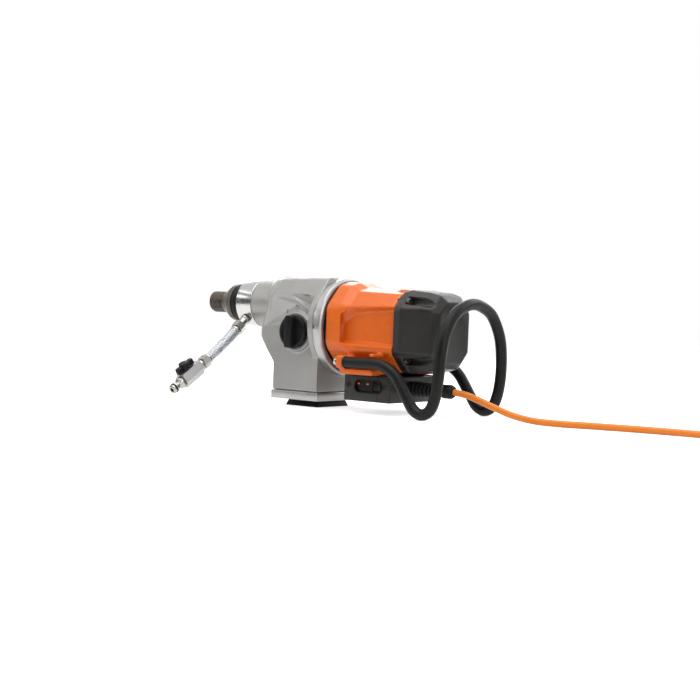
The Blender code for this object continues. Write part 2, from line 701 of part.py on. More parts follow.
def shifting(bodies):
    """The knob turns a crank whose pin slides a fork along its rail, and the fork moves the sleeve."""
    half, hole = SLEEVE_WIDTH / 2, SPINDLE_RADIUS + GAP
    groove = 2.6 * MM
    turned(
        "shift_sleeve",
        [
            (-half, SLEEVE_RADIUS), (-groove - GAP, SLEEVE_RADIUS),
            (-groove - GAP, SPINDLE_RADIUS + 0.8 * MM), (groove + GAP, SPINDLE_RADIUS + 0.8 * MM),
            (groove + GAP, SLEEVE_RADIUS), (half, SLEEVE_RADIUS)
        ],
        ground_steel(), bodies["shift_sleeve"], (SLEEVE_X, 0, SPINDLE_Z),
        inner=[(-half, hole), (half, hole)]
    )
    rail_rise = RAIL_Z - SPINDLE_Z
    reach = SPINDLE_RADIUS + 1.2 * MM
    arc = [
        (reach * math.sin(math.radians(a)), reach * math.cos(math.radians(a))) for a in range(200, 331, 13)
    ]
    outer = [
        (RAIL_Y + 2 * MM, rail_rise + 13 * MM), (RAIL_Y - 9 * MM, rail_rise + 4 * MM),
        (RAIL_Y - 9 * MM, rail_rise - 9 * MM), (RAIL_Y + 9 * MM, rail_rise - 9 * MM)
    ]
    fork = solid_copy(flat(
        "shift_fork", [arc + outer], 2 * groove, ground_steel(), bodies["shift_fork"],
        (SLEEVE_X - groove, 0, SPINDLE_Z)
    ))
    boolean(
        fork, rod("rail_hole", RAIL_RADIUS + GAP, 30 * MM, None, None, (SLEEVE_X - 15 * MM, RAIL_Y, RAIL_Z))
    )
    boolean(
        fork,
        box(
            "pin_slot", (SLEEVE_X - 2 * MM - GAP, RAIL_Y - 12 * MM, SELECTOR_Z + 8 * MM),
            (SLEEVE_X + 2 * MM + GAP, RAIL_Y - 6 * MM, SELECTOR_Z + 26 * MM), None, None
        )
    )
    rod(
        "fork_rail", RAIL_RADIUS, COVER_X + COVER_WEB / 2 - BODY_X - 8 * MM, ground_steel(),
        bodies["housing"], (BODY_X + 8 * MM, RAIL_Y, RAIL_Z), steps=16
    )
    inner_y = -(BODY_HALF_WIDTH - WALL)
    crank_y = inner_y + 0.6 * MM
    shaft = rod(
        "selector_shaft", 6 * MM, crank_y + 3 * MM - KNOB_BASE_Y, ground_steel(), bodies["selector"],
        (SELECTOR_X, KNOB_BASE_Y, SELECTOR_Z), (0, 1, 0), steps=24
    )
    boolean(
        shaft,
        box(
            "crank", (SELECTOR_X - 4 * MM, crank_y, SELECTOR_Z),
            (SELECTOR_X + 4 * MM, crank_y + 3 * MM, SELECTOR_Z + CRANK_RADIUS + 2.5 * MM), None, None
        ),
        "UNION"
    )
    boolean(
        shaft,
        rod(
            "crank_pin", 2 * MM, 6 * MM, None, None,
            (SELECTOR_X, crank_y + 1 * MM, SELECTOR_Z + CRANK_RADIUS), (0, 1, 0), steps=12
        ),
        "UNION"
    )
    disc = 6 * MM
    knob = turned(
        "selector_knob", [(0, KNOB_RADIUS), (disc, KNOB_RADIUS), (disc + 1.5 * MM, KNOB_RADIUS - 1.5 * MM)],
        black_plastic(), bodies["selector"], (SELECTOR_X, KNOB_BASE_Y - GAP, SELECTOR_Z), (0, -1, 0)
    )
    grip = box(
        "knob_grip", (SELECTOR_X - 7 * MM, KNOB_BASE_Y - KNOB_DEPTH, SELECTOR_Z - KNOB_RADIUS + 1 * MM),
        (SELECTOR_X + 7 * MM, KNOB_BASE_Y - 2 * MM, SELECTOR_Z + KNOB_RADIUS - 1 * MM), None, None, 2 * MM
    )
    boolean(knob, grip, "UNION")


def gear_cover(body):
    """The ring behind the gear housing. Its web carries the rear bearings of all three shafts."""
    cover = rod(
        "gear_cover", FLANGE_RADIUS, COVER_WIDTH, cast_aluminium(), body, (COVER_X, 0, MOTOR_Z), steps=48
    )
    boolean(
        cover,
        rod(
            "cover_hollow", FLANGE_RADIUS - 8 * MM, COVER_WIDTH, None, None,
            (COVER_X + COVER_WEB, 0, MOTOR_Z)
        )
    )
    y, z = counter_axis()
    start, through = COVER_X - 1 * MM, COVER_WEB + 2 * MM
    for name, radius, at_y, at_z in (
        ("spindle", 14 * MM, 0, SPINDLE_Z), ("counter", 11 * MM, y, z), ("motor", 12 * MM, 0, MOTOR_Z)
    ):
        boolean(cover, rod(name + "_seat", radius + GAP, through, None, None, (start, at_y, at_z)))
    boolean(
        cover, rod("rail_seat", RAIL_RADIUS + GAP, through, None, None, (start, RAIL_Y, RAIL_Z), steps=16)
    )
    bearing("spindle_rear_bearing", 8 * MM, 14 * MM, 8 * MM, body, (COVER_X, 0, SPINDLE_Z))
    bearing("countershaft_rear_bearing", 8 * MM, 11 * MM, 8 * MM, body, (COVER_X, y, z))
    bearing("countershaft_front_bearing", 8 * MM, 13 * MM, 8 * MM, body, (BODY_X + 4.5 * MM, y, z))
    bearing("armature_front_bearing", 6.5 * MM, 12 * MM, 8 * MM, body, (COVER_X, 0, MOTOR_Z))
    rod(
        "spindle_front_bearing", NECK_RADIUS - WALL - GAP, BEARING_SEAT_LENGTH, ground_steel(), body,
        (NECK_X + 9.5 * MM, 0, SPINDLE_Z), bore=SPINDLE_RADIUS + GAP
    )


def octagon(half_width, top, bottom, corner, radius):
    """An eight-sided outline about the motor's axis."""
    half = (
        (half_width - corner, MOTOR_Z + top, radius), (half_width, MOTOR_Z + top - corner, radius),
        (half_width, MOTOR_Z - bottom + corner, radius), (half_width - corner, MOTOR_Z - bottom, radius)
    )
    return rounded(mirrored(half), radius)


def motor_housing(body):
    """The orange shell, with a clamp block and a rib on each side for the handle."""
    shell = lofted(
        "motor_housing",
        (
            (MOTOR_X, octagon(61.5 * MM, 65 * MM, 61 * MM, 35 * MM, 20 * MM)),
            (MOTOR_X + 38 * MM, octagon(58 * MM, 59 * MM, 60 * MM, 30 * MM, 18 * MM)),
            (MOTOR_END_X, octagon(56 * MM, 55 * MM, 58 * MM, 26 * MM, 16 * MM))
        ),
        orange_paint(), body
    )
    inner, out = 46 * MM, HANDLE_HALF_WIDTH + 6 * MM
    for side in (-1, 1):
        low, high = sorted((side * inner, side * out))
        boolean(
            shell,
            box(
                f"clamp_{side}", (BOX_X, low, HANDLE_CLAMP_Z - 9 * MM),
                (BOX_X + 13 * MM, high, HANDLE_CLAMP_Z + 9 * MM), None, None, 2 * MM
            ),
            "UNION"
        )
        low, high = sorted((side * (inner - 16 * MM), side * (out - 4 * MM)))
        boolean(
            shell,
            box(
                f"shelf_{side}", (BOX_X + 5 * MM, low, BOX_TOP_Z + GAP),
                (MOTOR_END_X - 16 * MM, high, HANDLE_CLAMP_Z - TUBE_RADIUS - GAP), None, None, 1 * MM
            ),
            "UNION"
        )
        low, high = sorted((side * inner, side * (HANDLE_HALF_WIDTH + 1 * MM)))
        boolean(
            shell,
            box(
                f"rib_{side}", (BOX_X + 55 * MM, low, HANDLE_CLAMP_Z + TUBE_RADIUS + 1 * MM),
                (BOX_X + 61 * MM, high, HANDLE_CLAMP_Z + TUBE_RADIUS + 5 * MM), None, None, 1 * MM
            ),
            "UNION"
        )
        boolean(
            shell,
            rod(
                f"clamp_hole_{side}", 3 * MM + GAP, 20 * MM, None, None,
                (BOX_X - 2 * MM, side * HANDLE_HALF_WIDTH, HANDLE_CLAMP_Z), steps=16
            )
        )
        turned(
            f"clamp_bolt_{'near' if side < 0 else 'far'}",
            [(0, 5 * MM), (4 * MM, 5 * MM), (4 * MM, 3 * MM), (16.6 * MM, 3 * MM)], ground_steel(), body,
            (BOX_X - 4.3 * MM, side * HANDLE_HALF_WIDTH, HANDLE_CLAMP_Z), steps=16
        )
    boolean(
        shell,
        rod(
            "motor_bore", STATOR_RADIUS + GAP, MOTOR_LENGTH + 4 * MM, None, None,
            (MOTOR_X - 2 * MM, 0, MOTOR_Z), steps=48
        )
    )
    for y, z in screw_places():
        boolean(
            shell,
            rod("thread_hole", 2.5 * MM + GAP, 14 * MM, None, None, (MOTOR_END_X - 12 * MM, y, z), steps=12)
        )


def screw_places():
    return [(side * 42 * MM, MOTOR_Z + level * 40 * MM) for side in (-1, 1) for level in (-1, 1)]


def motor(body, armature, wheel_x):
    stator_x = MOTOR_X + 20 * MM
    coil = 7 * MM
    coil_end = coil + STATOR_LENGTH
    turned(
        "stator",
        [
            (0, 42 * MM), (coil, 42 * MM), (coil, STATOR_RADIUS), (coil_end, STATOR_RADIUS),
            (coil_end, 42 * MM), (coil_end + coil, 42 * MM)
        ],
        lamination_steel(), body, (stator_x - coil, 0, MOTOR_Z),
        inner=[
            (0, 33 * MM), (coil, 33 * MM), (coil, STATOR_BORE), (coil_end, STATOR_BORE),
            (coil_end, 33 * MM), (coil_end + coil, 33 * MM)
        ],
        steps=36
    )
    shaft_x, shaft_end = wheel_x - 2 * MM, MOTOR_END_X + 6 * MM
    shaft = rod(
        "armature_shaft", 6.5 * MM, shaft_end - COVER_X + 2 * MM, ground_steel(), armature,
        (COVER_X - 2 * MM, 0, MOTOR_Z)
    )
    pinion = flat(
        "motor_pinion", [gear_outline(PINION_TEETH, INPUT_MODULE)], COVER_X - 1 * MM - shaft_x, None, None,
        (shaft_x, 0, MOTOR_Z)
    )
    boolean(shaft, solid_copy(pinion), "UNION")
    hole = 6.5 * MM + GAP
    core = STATOR_BORE - 0.8 * MM
    heads = 9 * MM
    turned(
        "armature_core",
        [
            (0, 22 * MM), (3 * MM, 26 * MM), (heads, 26 * MM), (heads, core), (heads + STATOR_LENGTH, core),
            (heads + STATOR_LENGTH, 26 * MM), (6 * MM + heads + STATOR_LENGTH, 26 * MM),
            (2 * heads + STATOR_LENGTH, 22 * MM)
        ],
        lamination_steel(), armature, (stator_x - heads, 0, MOTOR_Z),
        inner=[(0, hole), (2 * heads + STATOR_LENGTH, hole)], steps=36
    )
    commutator_x = stator_x + STATOR_LENGTH + 10 * MM
    rod("commutator", 18 * MM, 16 * MM, copper(), armature, (commutator_x, 0, MOTOR_Z), bore=hole, steps=24)
    turned(
        "fan", [(0, 40 * MM), (1.5 * MM, 42 * MM), (7 * MM, 42 * MM), (8 * MM, 12 * MM)], black_plastic(),
        armature, (MOTOR_X - 1 * MM, 0, MOTOR_Z), inner=[(0, hole), (8 * MM, hole)]
    )
    shield_x = MOTOR_END_X - 8 * MM
    shield = rod(
        "end_shield", STATOR_RADIUS, 8 * MM, black_plastic(), body, (shield_x, 0, MOTOR_Z),
        bore=12 * MM + GAP
    )
    bearing("armature_rear_bearing", 6.5 * MM, 12 * MM, 8 * MM, body, (shield_x, 0, MOTOR_Z))
    for side, name in ((-1, "left"), (1, "right")):
        y_in, y_out = 20 * MM, 40 * MM
        low, high = sorted((side * y_in, side * y_out))
        holder = box(
            f"brush_holder_{name}", (commutator_x + 2 * MM, low, MOTOR_Z - 8 * MM),
            (commutator_x + 14 * MM, high, MOTOR_Z + 8 * MM), black_plastic(), body
        )
        boolean(
            holder,
            box(
                f"brush_way_{name}", (commutator_x + 4 * MM, low - 2 * MM, MOTOR_Z - 6 * MM),
                (commutator_x + 12 * MM, high + 2 * MM, MOTOR_Z + 6 * MM), None, None
            )
        )
        low, high = sorted((side * (18 * MM + GAP), side * 38 * MM))
        box(
            f"carbon_brush_{name}", (commutator_x + 4 * MM + GAP, low, MOTOR_Z - 6 * MM + GAP),
            (commutator_x + 12 * MM - GAP, high, MOTOR_Z + 6 * MM - GAP), carbon(), body
        )
    for y, z in ((0, 34 * MM), (0, -34 * MM)):
        boolean(
            shield,
            rod("shield_vent", 7 * MM, 12 * MM, None, None, (shield_x - 2 * MM, y, MOTOR_Z + z), steps=16)
        )


def rear_cover(body):
    """The faceted end cap, hollow inside, with a recess at each corner for its screw."""
    length = REAR_COVER_LENGTH
    cover = lofted(
        "rear_cover",
        (
            (REAR_X, octagon(57 * MM, 56.5 * MM, 59 * MM, 26 * MM, 16 * MM)),
            (REAR_X + 0.3 * length, octagon(56.5 * MM, 56 * MM, 58 * MM, 26 * MM, 15 * MM)),
            (REAR_X + 0.75 * length, octagon(49 * MM, 52 * MM, 53 * MM, 22 * MM, 12 * MM)),
            (REAR_END_X, octagon(37 * MM, 44 * MM, 45 * MM, 16 * MM, 8 * MM))
        ),
        charcoal_plastic(), body
    )
    hollow = turned(
        "cover_room", [(-1 * MM, 46 * MM), (0.45 * length, 44 * MM), (length - REAR_COVER_WALL, 30 * MM)],
        None, None, (REAR_X, 0, MOTOR_Z)
    )
    boolean(cover, hollow)
    seat = 14 * MM
    for number, (y, z) in enumerate(screw_places(), 1):
        boolean(
            cover,
            rod(f"screw_recess_{number}", 7 * MM, length, None, None, (REAR_X + seat, y, z), steps=20)
        )
        boolean(
            cover,
            rod(
                f"screw_way_{number}", 2.5 * MM + GAP, 30 * MM, None, None, (REAR_X - 2 * MM, y, z),
                steps=12
            )
        )
        screw = turned(
            f"cover_screw_{number}",
            [
                (-10 * MM, 2.5 * MM), (seat + GAP, 2.5 * MM), (seat + GAP, 4.5 * MM),
                (seat + 4.5 * MM, 4.5 * MM)
            ],
            ground_steel(), body, (REAR_X, y, z), steps=16
        )
        boolean(
            screw,
            rod(
                f"screw_socket_{number}", 2.2 * MM, 4 * MM, None, None, (REAR_X + seat + 2 * MM, y, z),
                steps=6
            )
        )


def handle(body):
    """One bent tube: clamped at both sides, down to two floor loops, and up into the bow behind the motor."""
    half, low, back = HANDLE_HALF_WIDTH, TUBE_RADIUS, HANDLE_BACK_X
    start = BOX_X + 13 * MM + GAP
    side = [
        (start, half, HANDLE_CLAMP_Z), (start + 28 * MM, half, HANDLE_CLAMP_Z),
        (start + 56 * MM, half, HANDLE_CLAMP_Z), (back - 86 * MM, half, 66 * MM),
        (back - 72 * MM, half, 57 * MM), (back - 61 * MM, half, 43 * MM), (back - 50 * MM, half, 27 * MM),
        (back - 39 * MM, half, 13 * MM), (back - 26 * MM, half, low), (back - 13 * MM, half, 14 * MM),
        (back - 5 * MM, half, 32 * MM), (back - 1 * MM, half, 60 * MM), (back, half - 3 * MM, 92 * MM),
        (back, half - 11 * MM, 117 * MM), (back, half - 30 * MM, 141 * MM),
        (back, half - 54 * MM, HANDLE_TOP_Z - 3.5 * MM)
    ]
    points = [(x, -y, z) for x, y, z in side] + [(back, 0, HANDLE_TOP_Z)] + side[::-1]
    tube("handle_tube", smooth_route(points, 14 * MM), TUBE_RADIUS, black_rubber(), body, 2)


def switch_box(body, rocker):
    """The box under the motor: an open-topped tray closed by the motor housing above it."""
    near = -BOX_HALF_WIDTH
    tray = box(
        "switch_box", (BOX_X, near, BOX_BOTTOM_Z), (BOX_END_X, -near, BOX_TOP_Z), charcoal_plastic(), body,
        1.5 * MM
    )
    boolean(
        tray,
        box(
            "box_room", (BOX_X + BOX_WALL, near + BOX_WALL, BOX_BOTTOM_Z + BOX_WALL),
            (BOX_END_X - BOX_WALL, -near - BOX_WALL, BOX_TOP_Z + 5 * MM), None, None
        )
    )
    middle_x, middle_z = (BOX_X + BOX_END_X) / 2 + 3 * MM, BOX_BOTTOM_Z + 21 * MM
    window = rounded(
        [(-24 * MM, -8 * MM), (24 * MM, -8 * MM), (24 * MM, 8 * MM), (-24 * MM, 8 * MM)], 6 * MM
    )
    cutter = flat("window", [window], 12 * MM, None, None, (middle_x, near - 3 * MM, middle_z), (0, 1, 0))
    boolean(tray, solid_copy(cutter))
    boolean(
        tray,
        rod("lead_hole", CABLE_RADIUS + GAP, 12 * MM, None, None, (BOX_END_X - 6 * MM, LEAD_Y, LEAD_Z))
    )
    plate = rounded(
        [(-28 * MM, -12 * MM), (28 * MM, -12 * MM), (28 * MM, 12 * MM), (-28 * MM, 12 * MM)], 6 * MM
    )
    panel = solid_copy(flat(
        "switch_panel", [plate], 2 * MM, black_plastic(), body, (middle_x, near + BOX_WALL + GAP, middle_z),
        (0, 1, 0)
    ))
    rocker_x = middle_x + 13 * MM
    boolean(
        panel,
        box(
            "rocker_window", (rocker_x - 9 * MM, near, middle_z - 6.5 * MM),
            (rocker_x + 9 * MM, near + 12 * MM, middle_z + 6.5 * MM), None, None
        )
    )
    box(
        "switch_rocker", (rocker_x - 7 * MM, near + 1.2 * MM, middle_z - 6 * MM),
        (rocker_x + 7 * MM, near + 9 * MM, middle_z + 6 * MM), black_plastic(), rocker, 1 * MM
    )
    box(
        "control_board", (BOX_X + 8 * MM, near + 36 * MM, BOX_BOTTOM_Z + BOX_WALL + GAP),
        (BOX_END_X - 10 * MM, -near - 12 * MM, BOX_BOTTOM_Z + BOX_WALL + 2 * MM), board_green(), body
    )


# ---------------------------------------------------------------- lead


LEAD_ROUTE = [  # from the gland's mouth to the coil, in metres
    (0.2153, -0.010, 0.0365), (0.236, -0.009, 0.0335), (0.256, -0.007, 0.0275), (0.278, -0.004, 0.0195),
    (0.302, 0.001, 0.0115), (0.330, 0.009, 0.0062), (0.362, 0.020, 0.0048), (0.400, 0.032, 0.0048),
    (0.440, 0.043, 0.0048), (0.480, 0.0515, 0.0048), (0.520, 0.057, 0.0048), (0.560, 0.0598, 0.0048),
    (0.600, 0.0607, 0.0048),
]
COIL_CENTRE = (0.6115, 0.132)
COIL_RADIUS = 0.054  # to the middle of its turns
COIL_WIDTH = 0.0275
COIL_HEIGHT = 0.0275


def lead(body):
    ribs, pitch, bore = 6, 6.4 * MM, CABLE_RADIUS + GAP
    outer = [(0, 11 * MM), (3 * MM, 11 * MM)]
    for rib in range(ribs):
        start = 3 * MM + rib * pitch
        radius = (10.8 - 0.35 * rib) * MM
        outer += [
            (start + 0.8 * MM, 8 * MM), (start + 2.4 * MM, 8 * MM), (start + 3.4 * MM, radius),
            (start + 5.6 * MM, radius)
        ]
    sleeve_end = 3 * MM + ribs * pitch + 2 * MM
    outer += [(sleeve_end - 1.5 * MM, 8 * MM), (sleeve_end, 8 * MM)]
    turned(
        "strain_relief", outer, black_rubber(), body, (BOX_END_X + GAP, LEAD_Y, LEAD_Z),
        inner=[(0, bore), (sleeve_end, bore)], steps=14
    )
    gland_x = BOX_END_X + 2 * GAP + sleeve_end
    length = LEAD_ROUTE[0][0] - GAP - gland_x
    turned(
        "cable_gland",
        [
            (0, 8 * MM), (length - 17 * MM, 8 * MM), (length - 16 * MM, 10 * MM),
            (length - 3 * MM, 10 * MM), (length, 7.5 * MM)
        ],
        black_plastic(), body, (gland_x, LEAD_Y, LEAD_Z), inner=[(0, bore), (length, bore)], steps=16
    )
    tube("power_cable", smooth_route(LEAD_ROUTE, 12 * MM), CABLE_RADIUS, orange_rubber(), body, 2)
    x, y = COIL_CENTRE
    turned(
        "cable_coil", [(0, COIL_RADIUS + COIL_WIDTH / 2), (COIL_HEIGHT, COIL_RADIUS + COIL_WIDTH / 2)],
        orange_rubber(), body, (x, y, 0.0003), (0, 0, 1),
        inner=[(0, COIL_RADIUS - COIL_WIDTH / 2), (COIL_HEIGHT, COIL_RADIUS - COIL_WIDTH / 2)]
    )
    plug_x, plug_y, plug_z = x + 32 * MM, y + COIL_RADIUS, COIL_HEIGHT + 18 * MM + 2 * GAP
    plug = turned(
        "plug",
        [(0, 6.5 * MM), (14 * MM, 9 * MM), (18 * MM, 17 * MM), (44 * MM, 18 * MM), (46 * MM, 16.5 * MM)],
        black_rubber(), body, (plug_x, plug_y, plug_z), (-1, 0, 0), steps=24
    )
    for side in (-1, 1):
        boolean(
            plug,
            rod(
                f"plug_pin_{side}", 2.4 * MM, 20 * MM, None, None,
                (plug_x - 45 * MM, plug_y + side * 9.5 * MM, plug_z), (-1, 0, 0), steps=12
            ),
            "UNION"
        )


# ---------------------------------------------------------------- water feed

BOX_TOP_Z = BOX_BOTTOM_Z + BOX_HEIGHT
COLLAR_MIDDLE = COLLAR_X + COLLAR_LENGTH / 2
NIPPLE_ROOT = 6 * MM
FLANGE_START = COLLAR_RADIUS + GAP


def hose_direction(share):
    """The way the hose points at a share of its bend."""
    angle = math.radians(HOSE_START_ANGLE + (HOSE_END_ANGLE - HOSE_START_ANGLE) * share)
    return Vector((0, -math.sin(angle), -math.cos(angle)))


def hose_points(count=14):
    """The hose's middle line: an even bend between its two ferrules."""
    start = FLANGE_START + NIPPLE_LENGTH + FERRULE_LENGTH + 2 * GAP
    point = Vector((COLLAR_MIDDLE, 0, SPINDLE_Z)) + hose_direction(0) * start
    points = [point.copy()]
    for i in range(count):
        point = point + hose_direction((i + 0.5) / count) * (HOSE_LENGTH / count)
        points.append(point.copy())
    return points


def hexagonal(name, across_flats, length, finish, body, origin, direction, bore):
    """A length of hexagon bar with a bore."""
    corner = across_flats / math.sqrt(3)
    outline = [
        (corner * math.sin(math.radians(a)), corner * math.cos(math.radians(a))) for a in range(0, 360, 60)
    ]
    return solid_copy(flat(
        name, [outline, circle(bore, 24)], length, finish, body, origin, direction, up=(1, 0, 0)
    ))


def water_feed(body, valve):
    axis = Vector((COLLAR_MIDDLE, 0, SPINDLE_Z))
    out = hose_direction(0)
    turned(
        "water_nipple",
        [
            (0, NIPPLE_ROOT - GAP), (4 * MM, NIPPLE_ROOT - GAP), (4 * MM, 8 * MM), (8 * MM, 8 * MM),
            (8 * MM, 6.5 * MM), (4 * MM + NIPPLE_LENGTH, 6.5 * MM)
        ],
        nickel(), body, axis + out * (FLANGE_START - 4 * MM + 0.8 * MM), out,
        inner=[(0, 3.5 * MM), (4 * MM + NIPPLE_LENGTH, 3.5 * MM)], steps=24
    )
    hexagonal(
        "hose_ferrule_upper", 17 * MM, FERRULE_LENGTH - 1.4 * MM, nickel(), body,
        axis + out * (FLANGE_START + NIPPLE_LENGTH + 0.8 * MM + GAP), out, 4 * MM
    )
    route = hose_points()
    tube("water_hose", route, HOSE_RADIUS, steel_braid(), body, 2)
    end, onward = route[-1], hose_direction(1)
    at = GAP
    ferrule = hexagonal(
        "hose_ferrule_lower", 17 * MM, FERRULE_LENGTH - 1 * MM, nickel(), body, end + onward * at, onward,
        4 * MM
    )
    boolean(
        ferrule,
        rod(
            "hose_union", 7.5 * MM, UNION_LENGTH + 2 * MM, None, None,
            end + onward * (at + FERRULE_LENGTH - 3 * MM), onward, bore=4 * MM, steps=24
        ),
        "UNION"
    )
    at += FERRULE_LENGTH - 1 * MM + UNION_LENGTH + GAP
    ball = 6.6 * MM
    valve_body = hexagonal(
        "valve_body", VALVE_ACROSS_FLATS, VALVE_LENGTH, machined_aluminium(), body, end + onward * at,
        onward, ball + GAP
    )
    middle = end + onward * (at + VALVE_LENGTH * 0.62)
    up = Vector((0, onward.z, -onward.y))
    boolean(valve_body, rod("stem_hole", 3 * MM + GAP, 20 * MM, None, None, middle, up, steps=16))
    sphere = bpy.data.meshes.new("valve_ball")
    shape = bmesh.new()
    bmesh.ops.create_uvsphere(shape, u_segments=16, v_segments=8, radius=ball)
    shape.to_mesh(sphere)
    shape.free()
    round_ball = add("valve_ball", sphere, nickel(), valve, middle)
    boolean(
        round_ball,
        rod("ball_bore", 4 * MM, 20 * MM, None, None, middle - onward * 10 * MM, onward, steps=16)
    )
    boolean(
        round_ball, rod("valve_stem", 3 * MM, 17 * MM, None, None, middle + up * 5 * MM, up, steps=16),
        "UNION"
    )
    side = Vector((1, 0, 0))
    grip_low = VALVE_ACROSS_FLATS / 2 + 1.2 * MM
    grip = box_mesh("valve_handle", Vector((9 * MM, 34 * MM, 9 * MM)), 1.5 * MM)
    turn = Matrix((side, onward, -side.cross(onward) * -1)).transposed().to_quaternion()
    wing = add("valve_handle", grip, black_plastic(), valve, middle + up * (grip_low + 4.5 * MM), turn)
    boolean(
        wing, rod("handle_hub", 8 * MM, 10.5 * MM, None, None, middle + up * grip_low, up, steps=24),
        "UNION"
    )
    boolean(
        wing,
        rod(
            "handle_socket", 3 * MM + GAP, 14 * MM, None, None, middle + up * (grip_low - 1 * MM), up,
            steps=16
        )
    )
    at += VALVE_LENGTH + GAP
    turned(
        "hose_coupling",
        [
            (0, 8.5 * MM), (4 * MM, 8.8 * MM), (7 * MM, 7.5 * MM), (8 * MM, 5.2 * MM), (12 * MM, 5.2 * MM),
            (13 * MM, 7.2 * MM), (16 * MM, 7.2 * MM), (16 * MM, 5.4 * MM), (18.6 * MM, 5.4 * MM),
            (18.6 * MM, 7 * MM), (21 * MM, 6.6 * MM), (22 * MM, 5.6 * MM)
        ],
        nickel(), body, end + onward * at, onward, inner=[(0, 3.2 * MM), (22 * MM, 3.2 * MM)], steps=16
    )
    return middle, up


# ---------------------------------------------------------------- the whole tool


def main():
    clear_scene()
    collection(PARTS)
    collection(CUTTERS)
    housing = empty("housing_frame", (0, 0, 0))
    spindle_frame = empty("spindle_frame", (TIP_X, 0, SPINDLE_Z), housing)
    y, z = counter_axis()
    bodies = {
        "housing": housing, "spindle": spindle_frame,
        "gear_first": empty("gear_first_frame", (BODY_X, 0, SPINDLE_Z), housing),
        "gear_third": empty("gear_third_frame", (BODY_X, 0, SPINDLE_Z), housing),
        "shift_sleeve": empty("shift_sleeve_frame", (SLEEVE_X, 0, SPINDLE_Z), spindle_frame),
        "shift_fork": empty("shift_fork_frame", (SLEEVE_X, RAIL_Y, RAIL_Z), housing),
        "countershaft": empty("countershaft_frame", (BODY_X, y, z), housing),
        "selector": empty("selector_frame", (SELECTOR_X, KNOB_BASE_Y, SELECTOR_Z), housing),
        "armature": empty("armature_frame", (MOTOR_X, 0, MOTOR_Z), housing)
    }
    gear_housing(housing)
    base_and_foot(housing)
    spindle(spindle_frame)
    collar_and_seals(housing, spindle_frame)
    wheel_x = gear_train(bodies)
    shifting(bodies)
    gear_cover(housing)
    motor_housing(housing)
    motor(housing, bodies["armature"], wheel_x)
    rear_cover(housing)
    handle(housing)
    rocker = empty(
        "rocker_frame",
        ((BOX_X + BOX_END_X) / 2 + 16 * MM, -BOX_HALF_WIDTH + 9 * MM, BOX_BOTTOM_Z + 21 * MM), housing
    )
    switch_box(housing, rocker)
    lead(housing)
    route_end, onward = hose_points()[-1], hose_direction(1)
    valve_middle = route_end + onward * (
        FERRULE_LENGTH - 1 * MM + UNION_LENGTH + 2 * GAP + VALVE_LENGTH * 0.62
    )
    water_feed(housing, empty("valve_frame", valve_middle, housing))


main()
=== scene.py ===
"""Builds the looks of a core drill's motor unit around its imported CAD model."""

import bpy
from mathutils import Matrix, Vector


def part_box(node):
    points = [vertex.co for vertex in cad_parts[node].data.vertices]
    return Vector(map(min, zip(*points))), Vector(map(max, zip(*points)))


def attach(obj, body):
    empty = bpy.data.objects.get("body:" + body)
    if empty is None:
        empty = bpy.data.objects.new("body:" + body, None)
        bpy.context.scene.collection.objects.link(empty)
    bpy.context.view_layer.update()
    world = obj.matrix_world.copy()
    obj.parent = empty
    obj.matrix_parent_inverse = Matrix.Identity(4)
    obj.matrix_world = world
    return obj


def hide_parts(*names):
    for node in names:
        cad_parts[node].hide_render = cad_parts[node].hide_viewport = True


bl_info = {
    "name": "Core Drill Motor", "version": (1, 0, 0), "blender": (4, 5, 0),
    "location": "3D View > Sidebar > Core Drill",
    "description": "Builds the pieces and finishes of a three-speed core drill motor around its frame",
    "category": "Object"
}

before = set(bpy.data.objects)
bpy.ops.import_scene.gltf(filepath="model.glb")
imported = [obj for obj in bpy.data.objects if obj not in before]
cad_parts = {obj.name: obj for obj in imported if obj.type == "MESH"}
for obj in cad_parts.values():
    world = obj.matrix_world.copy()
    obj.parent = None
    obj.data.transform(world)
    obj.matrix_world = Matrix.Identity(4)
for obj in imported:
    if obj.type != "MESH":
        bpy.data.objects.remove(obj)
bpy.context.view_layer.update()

import math

import bmesh
import bpy
from bpy.props import FloatProperty, FloatVectorProperty, IntProperty, PointerProperty
from bpy.types import Operator, Panel, PropertyGroup
from mathutils import Matrix, Vector

MM = 0.001
COLLECTION = "core_drill_looks"


# ---------------------------------------------------------------- stations, taken from the frame


def low(node):
    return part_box(node)[0]


def high(node):
    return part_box(node)[1]


def middle(node):
    return (low(node) + high(node)) / 2


SPINDLE_AXIS = middle("spindle_front_bearing")
MOTOR_AXIS = middle("armature_core")
TIP_X = low("spindle").x
RIM_X = low("slinger").x - 8.3 * MM
BODY_FRONT_X = low("gear_housing").x + 36 * MM  # behind the round neck
BODY_BACK_X = high("gear_housing").x
BASE_FRONT_X = low("base_plate").x + 1.2 * MM
COVER_BACK_X = high("gear_cover").x
SHELL_FRONT_X = low("motor_housing").x
SHELL_BACK_X = high("motor_housing").x
CAP_FRONT_X = low("rear_cover").x
CAP_BACK_X = high("rear_cover").x
SIDE_Y = low("base_plate").y + 1.2 * MM
KNOB_AT = middle("selector_knob")
BOX_LOW, BOX_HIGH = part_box("switch_box")
TUBE_Y = middle("clamp_bolt_near").y
TUBE_Z = middle("clamp_bolt_near").z
TUBE_RADIUS = low("handle_tube").y * -1 + TUBE_Y


# ---------------------------------------------------------------- shapes


def placed(origin, direction, up=(0, 0, 1)):
    """A matrix that takes local X along direction and local Z as near to up as it goes."""
    along = Vector(direction).normalized()
    side = Vector(up).cross(along).normalized()
    turn = Matrix((along, side, along.cross(side))).transposed().to_4x4()
    return Matrix.Translation(origin) @ turn


